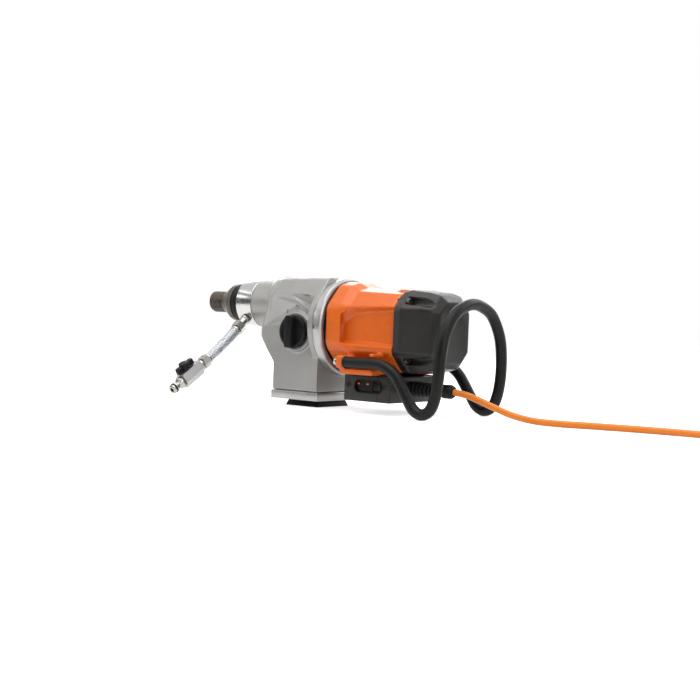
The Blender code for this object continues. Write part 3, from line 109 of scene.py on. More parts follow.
def cleaned(shape, merge=1e-6):
    """Merges doubled points, drops what collapsed and turns the faces outwards."""
    bmesh.ops.remove_doubles(shape, verts=shape.verts[:], dist=merge)
    bmesh.ops.dissolve_degenerate(shape, edges=shape.edges[:], dist=1e-7)
    bmesh.ops.recalc_face_normals(shape, faces=shape.faces[:])
    return shape


def piece(name, shape, finish, body="housing", stands_for=(), sharp=35):
    """A finished piece at the origin, smooth up to the sharp angle, riding on its body."""
    mesh = bpy.data.meshes.new(name)
    shape.to_mesh(mesh)
    shape.free()
    mesh.shade_smooth()
    mesh.set_sharp_from_angle(angle=math.radians(sharp))
    mesh.materials.append(finish)
    thing = bpy.data.objects.new(name, mesh)
    home().objects.link(thing)
    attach(thing, body)
    if stands_for:
        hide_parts(*stands_for)
    return thing


def home():
    found = bpy.data.collections.get(COLLECTION)
    if found is None:
        found = bpy.data.collections.new(COLLECTION)
        bpy.context.scene.collection.children.link(found)
    return found


def rounded(corners, steps=5, closed=True):
    """A line of points through corners (x, y, radius), each corner an arc."""
    line = []
    count = len(corners)
    for i, (x, y, radius) in enumerate(corners):
        here = Vector((x, y))
        if radius <= 0 or (not closed and i in (0, count - 1)):
            line.append(here)
            continue
        before = Vector(corners[i - 1][:2]) - here
        after = Vector(corners[(i + 1) % count][:2]) - here
        half = before.angle(after) / 2
        reach = min(radius / math.tan(half), 0.49 * before.length, 0.49 * after.length)
        real = reach * math.tan(half)
        centre = here + (before.normalized() + after.normalized()).normalized() * real / math.sin(half)
        start = here + before.normalized() * reach - centre
        sweep = start.angle_signed(here + after.normalized() * reach - centre)
        for step in range(steps + 1):
            line.append(centre + Matrix.Rotation(-sweep * step / steps, 2) @ start)
    return line


def mirror_line(half):
    """A whole outline from its +Y half, given from the top down."""
    return list(half) + [(-y, z, *rest) for y, z, *rest in reversed(half)]


def ring_of(shape, points):
    verts = [shape.verts.new(point) for point in points]
    return [shape.edges.new((verts[i - 1], verts[i])) for i in range(len(verts))]


def loft(sections):
    """A closed skin through rings of points of one count: bridged, then capped at both ends."""
    shape = bmesh.new()
    rings = [ring_of(shape, points) for points in sections]
    for first, second in zip(rings, rings[1:]):
        bmesh.ops.bridge_loops(shape, edges=first + second)
    for ring in (rings[0], rings[-1]):
        bmesh.ops.contextual_create(shape, geom=ring)
    return cleaned(shape)


def loft_along_x(stations):
    """A loft of (x, outline) pairs, each outline a line of (y, z) points."""
    return loft([[(x, p[0], p[1]) for p in outline] for x, outline in stations])


def spun(profile, place, steps=72, open_ended=False):
    """A solid turned from (along, radius) points. A profile that keeps off the axis makes a ring."""
    shape = bmesh.new()
    verts = [shape.verts.new((along, 0, radius)) for along, radius in profile]
    edges = [shape.edges.new(pair) for pair in zip(verts, verts[1:])]
    if not open_ended:
        edges.append(shape.edges.new((verts[-1], verts[0])))
    bmesh.ops.spin(
        shape, geom=verts + edges, cent=(0, 0, 0), axis=(1, 0, 0), angle=2 * math.pi, steps=steps,
        use_merge=True
    )
    bmesh.ops.transform(shape, matrix=place, verts=shape.verts[:])
    return cleaned(shape)


def bar(radius, length, place, ease=0.0, steps=72):
    """A plain turned bar with eased ends."""
    profile = [(0, 0, 0), (0, radius, ease), (length, radius, ease), (length, 0, 0)]
    return spun([tuple(p) for p in rounded(profile, 3, False)], place, steps, True)


def ring(outer, bore, length, place, ease=0.0, steps=72):
    profile = [(0, bore, ease), (0, outer, ease), (length, outer, ease), (length, bore, ease)]
    return spun([tuple(p) for p in rounded(profile, 3)], place, steps)


def prism(outline, depth, place, ease=0.0, segments=3):
    """A flat outline of (y, z) points pushed along the place's X, with its edges eased."""
    shape = bmesh.new()
    face = shape.faces.new([shape.verts.new((0, p[0], p[1])) for p in outline])
    pushed = bmesh.ops.extrude_face_region(shape, geom=[face])
    moved = [item for item in pushed["geom"] if isinstance(item, bmesh.types.BMVert)]
    bmesh.ops.translate(shape, vec=(depth, 0, 0), verts=moved)
    bmesh.ops.recalc_face_normals(shape, faces=shape.faces[:])
    if ease:
        rim = [edge for edge in shape.edges if edge.calc_face_angle(0) > math.radians(40)]
        bmesh.ops.bevel(
            shape, geom=rim, offset=ease, segments=segments, profile=0.5, affect="EDGES", material=-1
        )
    bmesh.ops.transform(shape, matrix=place, verts=shape.verts[:])
    return cleaned(shape)


def block(corner, opposite, ease=0.0, segments=3):
    """A box between two corners, with its edges eased."""
    corner, opposite = Vector(corner), Vector(opposite)
    shape = bmesh.new()
    bmesh.ops.create_cube(shape, size=1)
    bmesh.ops.scale(shape, vec=[abs(side) for side in opposite - corner], verts=shape.verts[:])
    bmesh.ops.translate(shape, vec=(corner + opposite) / 2, verts=shape.verts[:])
    if ease:
        bmesh.ops.bevel(
            shape, geom=shape.edges[:], offset=ease, segments=segments, profile=0.5, affect="EDGES",
            material=-1
        )
    return cleaned(shape)


def joined(*shapes):
    """Several shapes in one mesh."""
    whole = bmesh.new()
    for shape in shapes:
        mesh = bpy.data.meshes.new("part")
        shape.to_mesh(mesh)
        shape.free()
        whole.from_mesh(mesh)
        bpy.data.meshes.remove(mesh)
    return whole


def loose(shape, name):
    """A shape as a helper object, for a modifier to work on or with."""
    mesh = bpy.data.meshes.new(name)
    shape.to_mesh(mesh)
    shape.free()
    helper = bpy.data.objects.new(name, mesh)
    bpy.context.scene.collection.objects.link(helper)
    return helper


def evaluated(helper, others=()):
    """The helper's finished mesh as a shape. The helper and its cutters are removed."""
    bpy.context.view_layer.update()
    graph = bpy.context.evaluated_depsgraph_get()
    mesh = bpy.data.meshes.new_from_object(helper.evaluated_get(graph))
    shape = bmesh.new()
    shape.from_mesh(mesh)
    for spent in (helper, *others):
        bpy.data.objects.remove(spent)
    bpy.data.meshes.remove(mesh)
    return shape


def worked(shape, tools, operation):
    """The shape after one Boolean for each tool."""
    helper = loose(shape, "stock")
    spent = []
    for tool in tools:
        spent.append(loose(tool, "tool"))
        modifier = helper.modifiers.new(operation.title(), "BOOLEAN")
        modifier.operation = operation
        modifier.object = spent[-1]
    return evaluated(helper, spent)


def cut(shape, *cutters):
    """The shape with each cutter taken away."""
    return worked(shape, cutters, "DIFFERENCE")


def fused(shape, *others):
    """Several overlapping shapes as one skin."""
    return worked(shape, others, "UNION")


def surface_point(thing, point, direction):
    """Where a line from a point first meets a thing's surface, and the surface's way out there."""
    bpy.context.view_layer.update()
    hit, place, normal, _ = thing.ray_cast(Vector(point), Vector(direction))
    if not hit:
        raise RuntimeError(f"nothing of {thing.name} lies that way")
    return place, normal


def cast(shape, grain, rounds):
    """The shape as one skin with its edges run soft, as a mould leaves them."""
    helper = loose(shape, "casting")
    modifier = helper.modifiers.new("Skin", "REMESH")
    modifier.mode = "VOXEL"
    modifier.voxel_size = grain
    modifier.adaptivity = 0
    skin = evaluated(helper)
    for _ in range(rounds):
        bmesh.ops.smooth_vert(
            skin, verts=skin.verts[:], factor=0.5, use_axis_x=True, use_axis_y=True, use_axis_z=True
        )
    return skin


def swept(points, radius, sides=5, name="run"):
    """A round tube along a line of points, with its ends closed."""
    line = curve_along(name, points, radius, sides)
    return cleaned(evaluated(line))


def curve_along(name, points, radius, sides=5):
    curve = bpy.data.curves.new(name, "CURVE")
    curve.dimensions = "3D"
    curve.bevel_depth = radius
    curve.bevel_resolution = sides
    curve.use_fill_caps = True
    spline = curve.splines.new("POLY")
    spline.points.add(len(points) - 1)
    for point, co in zip(spline.points, points):
        point.co = (*co, 1)
    spline.use_smooth = True
    line = bpy.data.objects.new(name, curve)
    bpy.context.scene.collection.objects.link(line)
    return line


def smooth_route(points, spacing):
    """Points close together on one smooth curve through a route's points."""
    route = [Vector(point) for point in points]
    route = [2 * route[0] - route[1]] + route + [2 * route[-1] - route[-2]]
    line = []
    for a, b, c, d in zip(route, route[1:], route[2:], route[3:]):
        count = max(2, math.ceil((c - b).length / spacing))
        for i in range(count):
            t = i / count
            line.append(
                0.5 * (
                    2 * b + (c - a) * t + (2 * a - 5 * b + 4 * c - d) * t * t
                    + (3 * b - a - 3 * c + d) * t ** 3
                )
            )
    return line + [route[-2]]


def lettering(text, size, depth, place):
    """Raised figures: text made a mesh, laid flat on the place's Y and Z."""
    curve = bpy.data.curves.new("figures", "FONT")
    curve.body = text
    curve.size = size
    curve.extrude = depth / 2
    curve.align_x = "CENTER"
    curve.align_y = "CENTER"
    writing = bpy.data.objects.new("figures", curve)
    bpy.context.scene.collection.objects.link(writing)
    shape = evaluated(writing)
    upright = Matrix(((0, 0, 1, 0), (1, 0, 0, 0), (0, 1, 0, 0), (0, 0, 0, 1)))
    bmesh.ops.transform(shape, matrix=place @ upright, verts=shape.verts[:])
    return cleaned(shape)


# ---------------------------------------------------------------- finishes


def finish(name, colour, roughness, metallic=0.0, coat=0.0, specular=0.5):
    """A plain shader of one colour, for the detail functions below to work on. Colour is linear RGB."""
    material = bpy.data.materials.new(f"finish_{name}")
    material.use_nodes = True
    shader = material.node_tree.nodes["Principled BSDF"]
    shader.inputs["Base Color"].default_value = (*colour, 1)
    shader.inputs["Roughness"].default_value = roughness
    shader.inputs["Metallic"].default_value = metallic
    shader.inputs["Coat Weight"].default_value = coat
    shader.inputs["Coat Roughness"].default_value = 0.08
    shader.inputs["Specular IOR Level"].default_value = specular
    return material


def noise(material, scale, detail=3.0, stretch=(1, 1, 1)):
    """A noise value over the piece's own space. Stretch scales its pattern along each axis."""
    nodes, links = material.node_tree.nodes, material.node_tree.links
    place = nodes.new("ShaderNodeTexCoord")
    turn = nodes.new("ShaderNodeMapping")
    turn.inputs["Scale"].default_value = stretch
    pattern = nodes.new("ShaderNodeTexNoise")
    pattern.inputs["Scale"].default_value = scale
    pattern.inputs["Detail"].default_value = detail
    links.new(place.outputs["Object"], turn.inputs["Vector"])
    links.new(turn.outputs["Vector"], pattern.inputs["Vector"])
    return pattern.outputs["Fac"]


def ranged(material, value, least, most, start=0.3, end=0.7):
    nodes, links = material.node_tree.nodes, material.node_tree.links
    spread = nodes.new("ShaderNodeMapRange")
    spread.inputs["From Min"].default_value = start
    spread.inputs["From Max"].default_value = end
    spread.inputs["To Min"].default_value = least
    spread.inputs["To Max"].default_value = most
    links.new(value, spread.inputs["Value"])
    return spread.outputs["Result"]


def tinted(material, value, other, most=1.0):
    """Runs the base colour towards another one where the value is high."""
    nodes, links = material.node_tree.nodes, material.node_tree.links
    shader = nodes["Principled BSDF"]
    blend = nodes.new("ShaderNodeMix")
    blend.data_type = "RGBA"
    base = shader.inputs["Base Color"]
    if base.is_linked:
        links.new(base.links[0].from_socket, blend.inputs["A"])
    else:
        blend.inputs["A"].default_value = base.default_value
    blend.inputs["B"].default_value = (*other, 1)
    links.new(ranged(material, value, 0, most), blend.inputs["Factor"])
    links.new(blend.outputs["Result"], base)


def varied_gloss(material, least, most, scale, stretch=(1, 1, 1)):
    value = ranged(material, noise(material, scale, 4.0, stretch), least, most)
    shader = material.node_tree.nodes["Principled BSDF"]
    material.node_tree.links.new(value, shader.inputs["Roughness"])


def raised(material, value, depth, strength=1.0):
    """A bump of a value over a depth in metres, added to the bump that is there."""
    nodes, links = material.node_tree.nodes, material.node_tree.links
    normal = nodes["Principled BSDF"].inputs["Normal"]
    bump = nodes.new("ShaderNodeBump")
    bump.inputs["Strength"].default_value = strength
    bump.inputs["Distance"].default_value = depth
    links.new(value, bump.inputs["Height"])
    if normal.is_linked:
        links.new(normal.links[0].from_socket, bump.inputs["Normal"])
    links.new(bump.outputs["Normal"], normal)


def cast_paint(look):
    """Silver paint over a casting: a fine pebbled skin with faint cloudiness."""
    material = finish("silver_cast_paint", look.cast_colour, 0.42, 0.55)
    tinted(material, noise(material, 22), [0.8 * part for part in look.cast_colour], 0.35)
    varied_gloss(material, 0.36, 0.5, 60)
    raised(material, noise(material, 900, 2.0), 0.05 * MM, 0.35)
    raised(material, noise(material, 120, 2.0), 0.15 * MM, 0.2)
    return material


def milled_aluminium(look):
    """Bare milled aluminium with the cutter's faint straight lines."""
    material = finish("milled_aluminium", [0.76 * part for part in look.machined_colour], 0.36, 0.8)
    tinted(material, noise(material, 30), [0.82 * part for part in look.machined_colour], 0.4)
    varied_gloss(material, 0.26, 0.4, 80, (1, 0.05, 1))
    raised(material, noise(material, 1500, 2.0, (1, 0.03, 1)), 0.02 * MM, 0.3)
    return material


def turned_aluminium(look):
    """Bright turned aluminium: the tool's fine rings run round the axis."""
    material = finish("turned_aluminium", look.machined_colour, 0.2, 1.0)
    tinted(
        material, noise(material, 900, 1.0, (1, 0.01, 0.01)),
        [0.88 * part for part in look.machined_colour], 0.6
    )
    varied_gloss(material, 0.16, 0.26, 700, (1, 0.02, 0.02))
    raised(material, noise(material, 2600, 1.0, (1, 0.01, 0.01)), 0.01 * MM, 0.35)
    return material


def phosphated_steel(look):
    """Dark phosphated steel with an oily, slightly brown cast."""
    material = finish("phosphated_steel", look.phosphate_colour, 0.42, 0.6)
    tinted(material, noise(material, 140), (0.16, 0.135, 0.105), 0.5)
    varied_gloss(material, 0.32, 0.52, 200)
    raised(material, noise(material, 1800, 2.0), 0.03 * MM, 0.4)
    return material


def ground_steel(look):
    material = finish("ground_steel", (0.52, 0.51, 0.49), 0.28, 1.0)
    tinted(material, noise(material, 60), (0.36, 0.35, 0.33), 0.4)
    varied_gloss(material, 0.2, 0.36, 300, (1, 0.1, 0.1))
    raised(material, noise(material, 2200, 1.0, (1, 0.04, 0.04)), 0.01 * MM, 0.3)
    return material


def nickel_plate(look):
    """Bright nickel with a warm cast over brass."""
    material = finish("nickel_plate", look.nickel_colour, 0.16, 1.0)
    tinted(material, noise(material, 90), [0.8 * part for part in look.nickel_colour], 0.4)
    varied_gloss(material, 0.1, 0.24, 160)
    raised(material, noise(material, 700, 2.0), 0.01 * MM, 0.25)
    return material


def orange_moulding(look):
    """Glossy orange nylon with a faint flow pattern and orange-peel skin."""
    material = finish("orange_moulding", look.orange_colour, 0.3, 0.0, 0.14, 0.28)
    tinted(material, noise(material, 14), [0.9 * part for part in look.orange_colour], 0.35)
    varied_gloss(material, 0.24, 0.34, 45)
    raised(material, noise(material, 420, 2.0), 0.05 * MM, 0.15)
    return material


def charcoal_moulding(look):
    """Dark grey glass-filled nylon with a spark-eroded grain."""
    material = finish("charcoal_moulding", look.charcoal_colour, 0.36, specular=0.34)
    tinted(material, noise(material, 18), [1.3 * part for part in look.charcoal_colour], 0.4)
    varied_gloss(material, 0.33, 0.45, 70)
    raised(material, noise(material, 1600, 2.0), 0.05 * MM, 0.5)
    return material


def black_moulding(look):
    material = finish("black_moulding", (0.007, 0.007, 0.007), 0.36, specular=0.14)
    tinted(material, noise(material, 40), (0.014, 0.014, 0.014), 0.5)
    varied_gloss(material, 0.28, 0.46, 110)
    raised(material, noise(material, 1400, 2.0), 0.03 * MM, 0.35)
    return material


def black_rubber(look):
    """Satin black rubber with a soft bloom."""
    material = finish("black_rubber", look.rubber_colour, 0.44, specular=0.2)
    tinted(material, noise(material, 26), (0.010, 0.0095, 0.009), 0.45)
    varied_gloss(material, 0.36, 0.5, 60)
    raised(material, noise(material, 1300, 2.0), 0.05 * MM, 0.4)
    return material


def orange_jacket(look):
    """The lead's smooth orange polyurethane jacket."""
    material = finish("orange_jacket", look.lead_colour, 0.28, 0.0, 0.1, 0.3)
    tinted(material, noise(material, 35), [0.85 * part for part in look.lead_colour], 0.4)
    varied_gloss(material, 0.22, 0.36, 90)
    raised(material, noise(material, 500, 2.0), 0.04 * MM, 0.3)
    return material


def red_lens(look):
    material = finish("red_lens", (0.6, 0.035, 0.012), 0.2, 0.0, 0.5)
    tinted(material, noise(material, 300), (0.42, 0.02, 0.01), 0.5)
    return material


def winding_copper(look):
    material = finish("winding_copper", (0.48, 0.19, 0.08), 0.34, 0.9)
    tinted(material, noise(material, 200), (0.3, 0.1, 0.045), 0.6)
    raised(material, noise(material, 900, 2.0, (0.2, 1, 1)), 0.1 * MM, 0.5)
    return material


def laminated_iron(look):
    """Stacked sheets: thin rings across the axis."""
    material = finish("laminated_iron", (0.2, 0.2, 0.21), 0.4, 0.9)
    tinted(material, noise(material, 1200, 0.0, (1, 0.01, 0.01)), (0.09, 0.09, 0.1), 0.8)
    raised(material, noise(material, 1200, 0.0, (1, 0.01, 0.01)), 0.1 * MM, 0.5)
    return material


def brush_carbon(look):
    material = finish("brush_carbon", (0.03, 0.03, 0.032), 0.55, 0.2)
    tinted(material, noise(material, 500), (0.07, 0.07, 0.075), 0.5)
    return material


def board_green(look):
    material = finish("board_green", (0.02, 0.14, 0.05), 0.35)
    tinted(material, noise(material, 260, 1.0), (0.05, 0.3, 0.12), 0.5)
    raised(material, noise(material, 300, 1.0), 0.1 * MM, 0.4)
    return material


def gear_steel(look):
    material = finish("gear_steel", (0.36, 0.35, 0.34), 0.3, 1.0)
    tinted(material, noise(material, 120), (0.2, 0.19, 0.18), 0.5)
    varied_gloss(material, 0.22, 0.38, 240)
    raised(material, noise(material, 1500, 2.0), 0.02 * MM, 0.3)
    return material


def hose_tube(look):
    """The grey liner seen between the braid's wires."""
    material = finish("hose_tube", (0.16, 0.165, 0.175), 0.45, 0.3)
    tinted(material, noise(material, 300), (0.24, 0.25, 0.265), 0.5)
    raised(material, noise(material, 1200, 2.0), 0.05 * MM, 0.3)
    return material


def braid_wire(look):
    """Bright stainless wire."""
    material = finish("braid_wire", (0.62, 0.64, 0.67), 0.24, 1.0)
    tinted(material, noise(material, 700), (0.42, 0.43, 0.46), 0.5)
    varied_gloss(material, 0.18, 0.34, 500)
    return material


def made(name):
    """The named finish, made once."""
    found = bpy.data.materials.get(f"finish_{name}")
    return found or FINISHES[name](bpy.context.scene.drill_look)


FINISHES = {
    "silver_cast_paint": cast_paint, "milled_aluminium": milled_aluminium,
    "turned_aluminium": turned_aluminium, "phosphated_steel": phosphated_steel,
    "ground_steel": ground_steel, "nickel_plate": nickel_plate, "orange_moulding": orange_moulding,
    "charcoal_moulding": charcoal_moulding, "black_moulding": black_moulding, "black_rubber": black_rubber,
    "orange_jacket": orange_jacket, "red_lens": red_lens, "winding_copper": winding_copper,
    "laminated_iron": laminated_iron, "brush_carbon": brush_carbon, "board_green": board_green,
    "gear_steel": gear_steel, "hose_tube": hose_tube, "braid_wire": braid_wire
}


def refinish(name, *nodes):
    """Gives CAD nodes a finish, in every slot they have."""
    for node in nodes:
        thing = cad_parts[node]
        for slot in thing.material_slots:
            slot.material = made(name)


def across(outline, y_from, y_to, ease=0.0):
    """An outline of (x, z) points pushed from one Y to another."""
    swap = Matrix(((0, 1, 0, 0), (1, 0, 0, y_from), (0, 0, 1, 0), (0, 0, 0, 1)))
    return prism(outline, y_to - y_from, swap, ease)


def tapered(outer, inner, y_outer, y_inner):
    """A pocket's cutter: one (x, z) outline at the surface and a like one at its floor."""
    return loft([[(p[0], y_outer, p[1]) for p in outer], [(p[0], y_inner, p[1]) for p in inner]])


def about_motor(x):
    return placed((x, MOTOR_AXIS.y, MOTOR_AXIS.z), (1, 0, 0))


def about_spindle(x):
    return placed((x, SPINDLE_AXIS.y, SPINDLE_AXIS.z), (1, 0, 0))


# ---------------------------------------------------------------- gear housing and base


def body_outline(size, shoulder, top, lean):
    """The casting's section: a round top on straight sides. Lean narrows all of it."""
    wide = size.body_width / 2 - lean
    foot = low("gear_housing").z
    crown = top - lean
    half = [
        (shoulder - lean, crown, 13 * MM), (shoulder + 21 * MM - lean, crown - 25 * MM, 14 * MM),
        (wide, crown - 71 * MM, 16 * MM), (wide, foot, 2 * MM)
    ]
    return rounded(mirror_line(half), 6)


def slope_pocket(side, size):
    """The shallow three-cornered pocket between the crown, the flange and the side."""
    edge = size.body_width / 2
    outer = rounded(
        [
            (BODY_FRONT_X + 30 * MM, 166 * MM, 3 * MM), (BODY_BACK_X - 17 * MM, 161 * MM, 8 * MM),
            (BODY_BACK_X - 15 * MM, 138 * MM, 4 * MM)
        ],
        5
    )
    centre = Vector((BODY_BACK_X - 30 * MM, 156 * MM))
    inner = [centre + 0.72 * (point - centre) for point in outer]
    return tapered(outer, inner, side * (edge + 6 * MM), side * (edge - 7 * MM))


def gear_housing(size):
    """The silver casting: body, neck, boss and flange as one skin, with its rooms cut out of it."""
    top, foot, nose = high("gear_housing").z, low("gear_housing").z, low("gear_housing").x
    front, back = BODY_FRONT_X, BODY_BACK_X
    length = back - front
    body = loft_along_x([
        (front, body_outline(size, 16 * MM, top - 3 * MM, 7 * MM)),
        (front + 2.5 * MM, body_outline(size, 18 * MM, top - 3 * MM, 3 * MM)),
        (front + 8 * MM, body_outline(size, 20 * MM, top - 2.4 * MM, 0.6 * MM)),
        (front + 16 * MM, body_outline(size, 22 * MM, top - 2 * MM, 0)),
        (front + 0.7 * length, body_outline(size, 31 * MM, top - 0.5 * MM, 0)),
        (back - 1 * MM, body_outline(size, 34 * MM, top - 0.5 * MM, 0))
    ])
    neck_radius = size.neck_radius
    neck = spun(
        [
            (0, 0), (0, neck_radius - 0.8 * MM), (0.8 * MM, neck_radius), (29 * MM, neck_radius),
            (33 * MM, neck_radius + 0.5 * MM), (36 * MM, neck_radius + 2 * MM),
            (38 * MM, neck_radius + 5 * MM), (45 * MM, neck_radius + 5 * MM), (45 * MM, 0)
        ],
        about_spindle(nose), 72, True
    )
    flange_radius = size.flange_radius
    flange = spun(
        [
            (0, 0), (0, 54 * MM), (7 * MM, 55.6 * MM), (13 * MM, 58.5 * MM), (17.5 * MM, 63 * MM),
            (20 * MM, flange_radius), (30 * MM, flange_radius), (30 * MM, 0)
        ],
        about_motor(back - 30 * MM), 96, True
    )
    boss = bar(
        size.boss_radius, 19 * MM,
        placed((KNOB_AT.x, high("selector_knob").y + 0.6 * MM, KNOB_AT.z), (0, 1, 0)), 1.2 * MM
    )
    shoulder, setback = KNOB_AT.z - 9.6 * MM, BASE_FRONT_X - front
    wedge = [
        (front - 0.12, foot - 5 * MM), (front + setback, foot - 5 * MM), (front + setback, 62 * MM),
        (front + 3 * MM, shoulder), (front - 0.12, shoulder)
    ]
    y, z = middle("countershaft").y, middle("countershaft").z
    wall = 5.5 * MM
    narrow = size.body_width / 2 - wall - 3 * MM
    rooms = [
        across(wedge, -0.1, 0.1), slope_pocket(-1, size), slope_pocket(1, size),
        block(
            (front + 21 * MM, -narrow, 84 * MM), (back + 6 * MM, narrow, SPINDLE_AXIS.z - 18 * MM), 4 * MM
        ),
        bar(SPINDLE_AXIS.z - MOTOR_AXIS.z + 6.5 * MM, length, about_spindle(front + 6 * MM)),
        block((BASE_FRONT_X + 7 * MM, -narrow, foot - 5 * MM), (back - 7 * MM, narrow, 76 * MM), 3 * MM),
        bar(neck_radius - wall, 33 * MM, about_spindle(nose - 1 * MM)),
        bar(24.5 * MM, 50 * MM, about_spindle(nose - 1 * MM)),
        bar(7 * MM, 40 * MM, placed((KNOB_AT.x, SIDE_Y - 12 * MM, KNOB_AT.z), (0, 1, 0))),
        bar(20 * MM, length, placed((front + 13 * MM, y, z), (1, 0, 0))),
        bar(23.8 * MM, 20 * MM, placed((back - 18 * MM, y, z), (1, 0, 0))),
        bar(14 * MM, 34 * MM, placed((KNOB_AT.x - 17 * MM, -36 * MM, 122 * MM), (1, 0, 0)))
    ]
    skin = cast(cut(fused(body, neck, flange, boss), *rooms), size.grain, 3)
    casting = piece(
        "gear_housing_casting", skin, made("silver_cast_paint"), "housing", ["gear_housing"], 50
    )
    for figure, x, z in (("1", -50, 136), ("2", -32, 143), ("3", -14, 136)):
        at, outward = surface_point(casting, (x * MM, SIDE_Y - 20 * MM, z * MM), (0, 1, 0))
        number = piece(
            f"gear_figure_{figure}", lettering(figure, 9 * MM, 1.6 * MM, placed(at, outward)),
            made("silver_cast_paint")
        )


def base_and_foot(size):
    """The milled plate under the casting and the dovetail foot that a stand's slide grips."""
    corner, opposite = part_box("base_plate")
    plate = piece(
        "milled_base_plate", block(corner, opposite, 1.2 * MM), made("milled_aluminium"), "housing",
        ["base_plate"]
    )
    corner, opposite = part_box("mounting_foot")
    half, height, lip = opposite.y, opposite.z, 2 * MM
    outline = [
        (-half, 0), (half, 0), (half, lip), (half - size.dovetail, height), (size.dovetail - half, height),
        (-half, lip)
    ]
    rail = prism(outline, opposite.x - corner.x, Matrix.Translation((corner.x, 0, corner.z)), 0.6 * MM)
    foot = piece("dovetail_foot", rail, made("black_moulding"), "housing", ["mounting_foot"])


def gear_cover(size):
    """The bare ring between gears and motor, with a seam groove, slots and a dark air gap behind."""
    front, back = low("gear_cover").x, COVER_BACK_X
    radius, width = size.flange_radius, back - front
    profile = rounded(
        [
            (0, 0, 0), (0, radius, 0.4 * MM), (width - 2 * MM, radius, 1.6 * MM),
            (width, radius - 3 * MM, 0.5 * MM), (width, radius - 8 * MM, 0), (9 * MM, radius - 8 * MM, 0),
            (9 * MM, 0, 0)
        ],
        3, False
    )
    plate = spun([tuple(point) for point in profile], about_motor(front), 128, True)
    seats = [
        bar(radius_of, 0.03, placed((front - 1 * MM, at.y, at.z), (1, 0, 0)))
        for radius_of, at in (
            (14.3 * MM, middle("spindle_rear_bearing")), (11.3 * MM, middle("countershaft_rear_bearing")),
            (12.3 * MM, MOTOR_AXIS), (4.8 * MM, Vector((0, -36 * MM, 122 * MM)))
        )
    ]
    for degrees in (-90, 90):
        seats.append(cover_slot(front, radius, degrees))
    cover = piece(
        "gear_cover_ring", cut(plate, *seats), made("milled_aluminium"), "housing", ["gear_cover"], 25
    )
    groove = spun(
        [
            (-0.35 * MM, radius - 6 * MM), (-0.35 * MM, radius - 0.5 * MM), (0.05 * MM, radius - 0.5 * MM),
            (0.05 * MM, radius - 6 * MM)
        ],
        about_motor(front), 128
    )
    piece("cover_gasket", groove, made("black_rubber"))
    gap_back = SHELL_FRONT_X + 1.5 * MM
    baffle = ring(
        radius - 9.5 * MM, radius - 14 * MM, gap_back - back + 2.4 * MM, about_motor(back - 2.4 * MM),
        0.4 * MM
    )
    piece("air_outlet_baffle", baffle, made("black_moulding"))


def cover_slot(front, radius, degrees):
    """A cutter for one of the lifting slots in the ring's rim."""
    turn = Matrix.Rotation(math.radians(degrees), 4, "X")
    slot = block(
        (front + 0.5 * MM, -3 * MM, radius - 2.2 * MM), (front + 3 * MM, 3 * MM, radius + 3 * MM), 0.4 * MM
    )
    bmesh.ops.transform(slot, matrix=Matrix.Translation((0, 0, MOTOR_AXIS.z)) @ turn, verts=slot.verts[:])
    return slot


# ---------------------------------------------------------------- motor shell and rear cap


def octagon(half_width, above, below, corner, radius, steps=5):
    """An eight-sided outline about the motor's axis, as (y, z) points."""
    z = MOTOR_AXIS.z
    half = [
        (half_width - corner, z + above, radius), (half_width, z + above - corner, radius),
        (half_width, z - below + corner, radius), (half_width - corner, z - below, radius)
    ]
    return rounded(mirror_line(half), steps)


def shell_outline(half_width, above, below, corner, radius):
    """The shell's section: like the octagon, with one more shallow facet each side of the crown."""
    z = MOTOR_AXIS.z
    half = [
        (14 * MM, z + above, radius / 2), (half_width - 0.8 * corner, z + above - 5 * MM, radius),
        (half_width, z + above - corner, radius), (half_width, z - below + corner, radius),
        (half_width - corner, z - below, radius)
    ]
    return rounded(mirror_line(half), 5)


def side_panel(side):
    """The cutter for the long recess on one flank of the shell, open towards the rear cap."""
    outer = rounded(
        [
            (SHELL_BACK_X + 6 * MM, 152 * MM, 0), (72 * MM, 148 * MM, 24 * MM),
            (38 * MM, 132 * MM, 12 * MM), (36 * MM, 95 * MM, 6 * MM), (SHELL_BACK_X + 6 * MM, 92.5 * MM, 0)
        ],
        6
    )
    inner = rounded(
        [
            (SHELL_BACK_X + 6 * MM, 144.5 * MM, 0), (72 * MM, 137.5 * MM, 18 * MM),
            (52 * MM, 122 * MM, 10 * MM), (50 * MM, 99 * MM, 4 * MM), (SHELL_BACK_X + 6 * MM, 96 * MM, 0)
        ],
        6
    )
    return tapered(outer, inner, side * 59 * MM, side * 48.6 * MM)


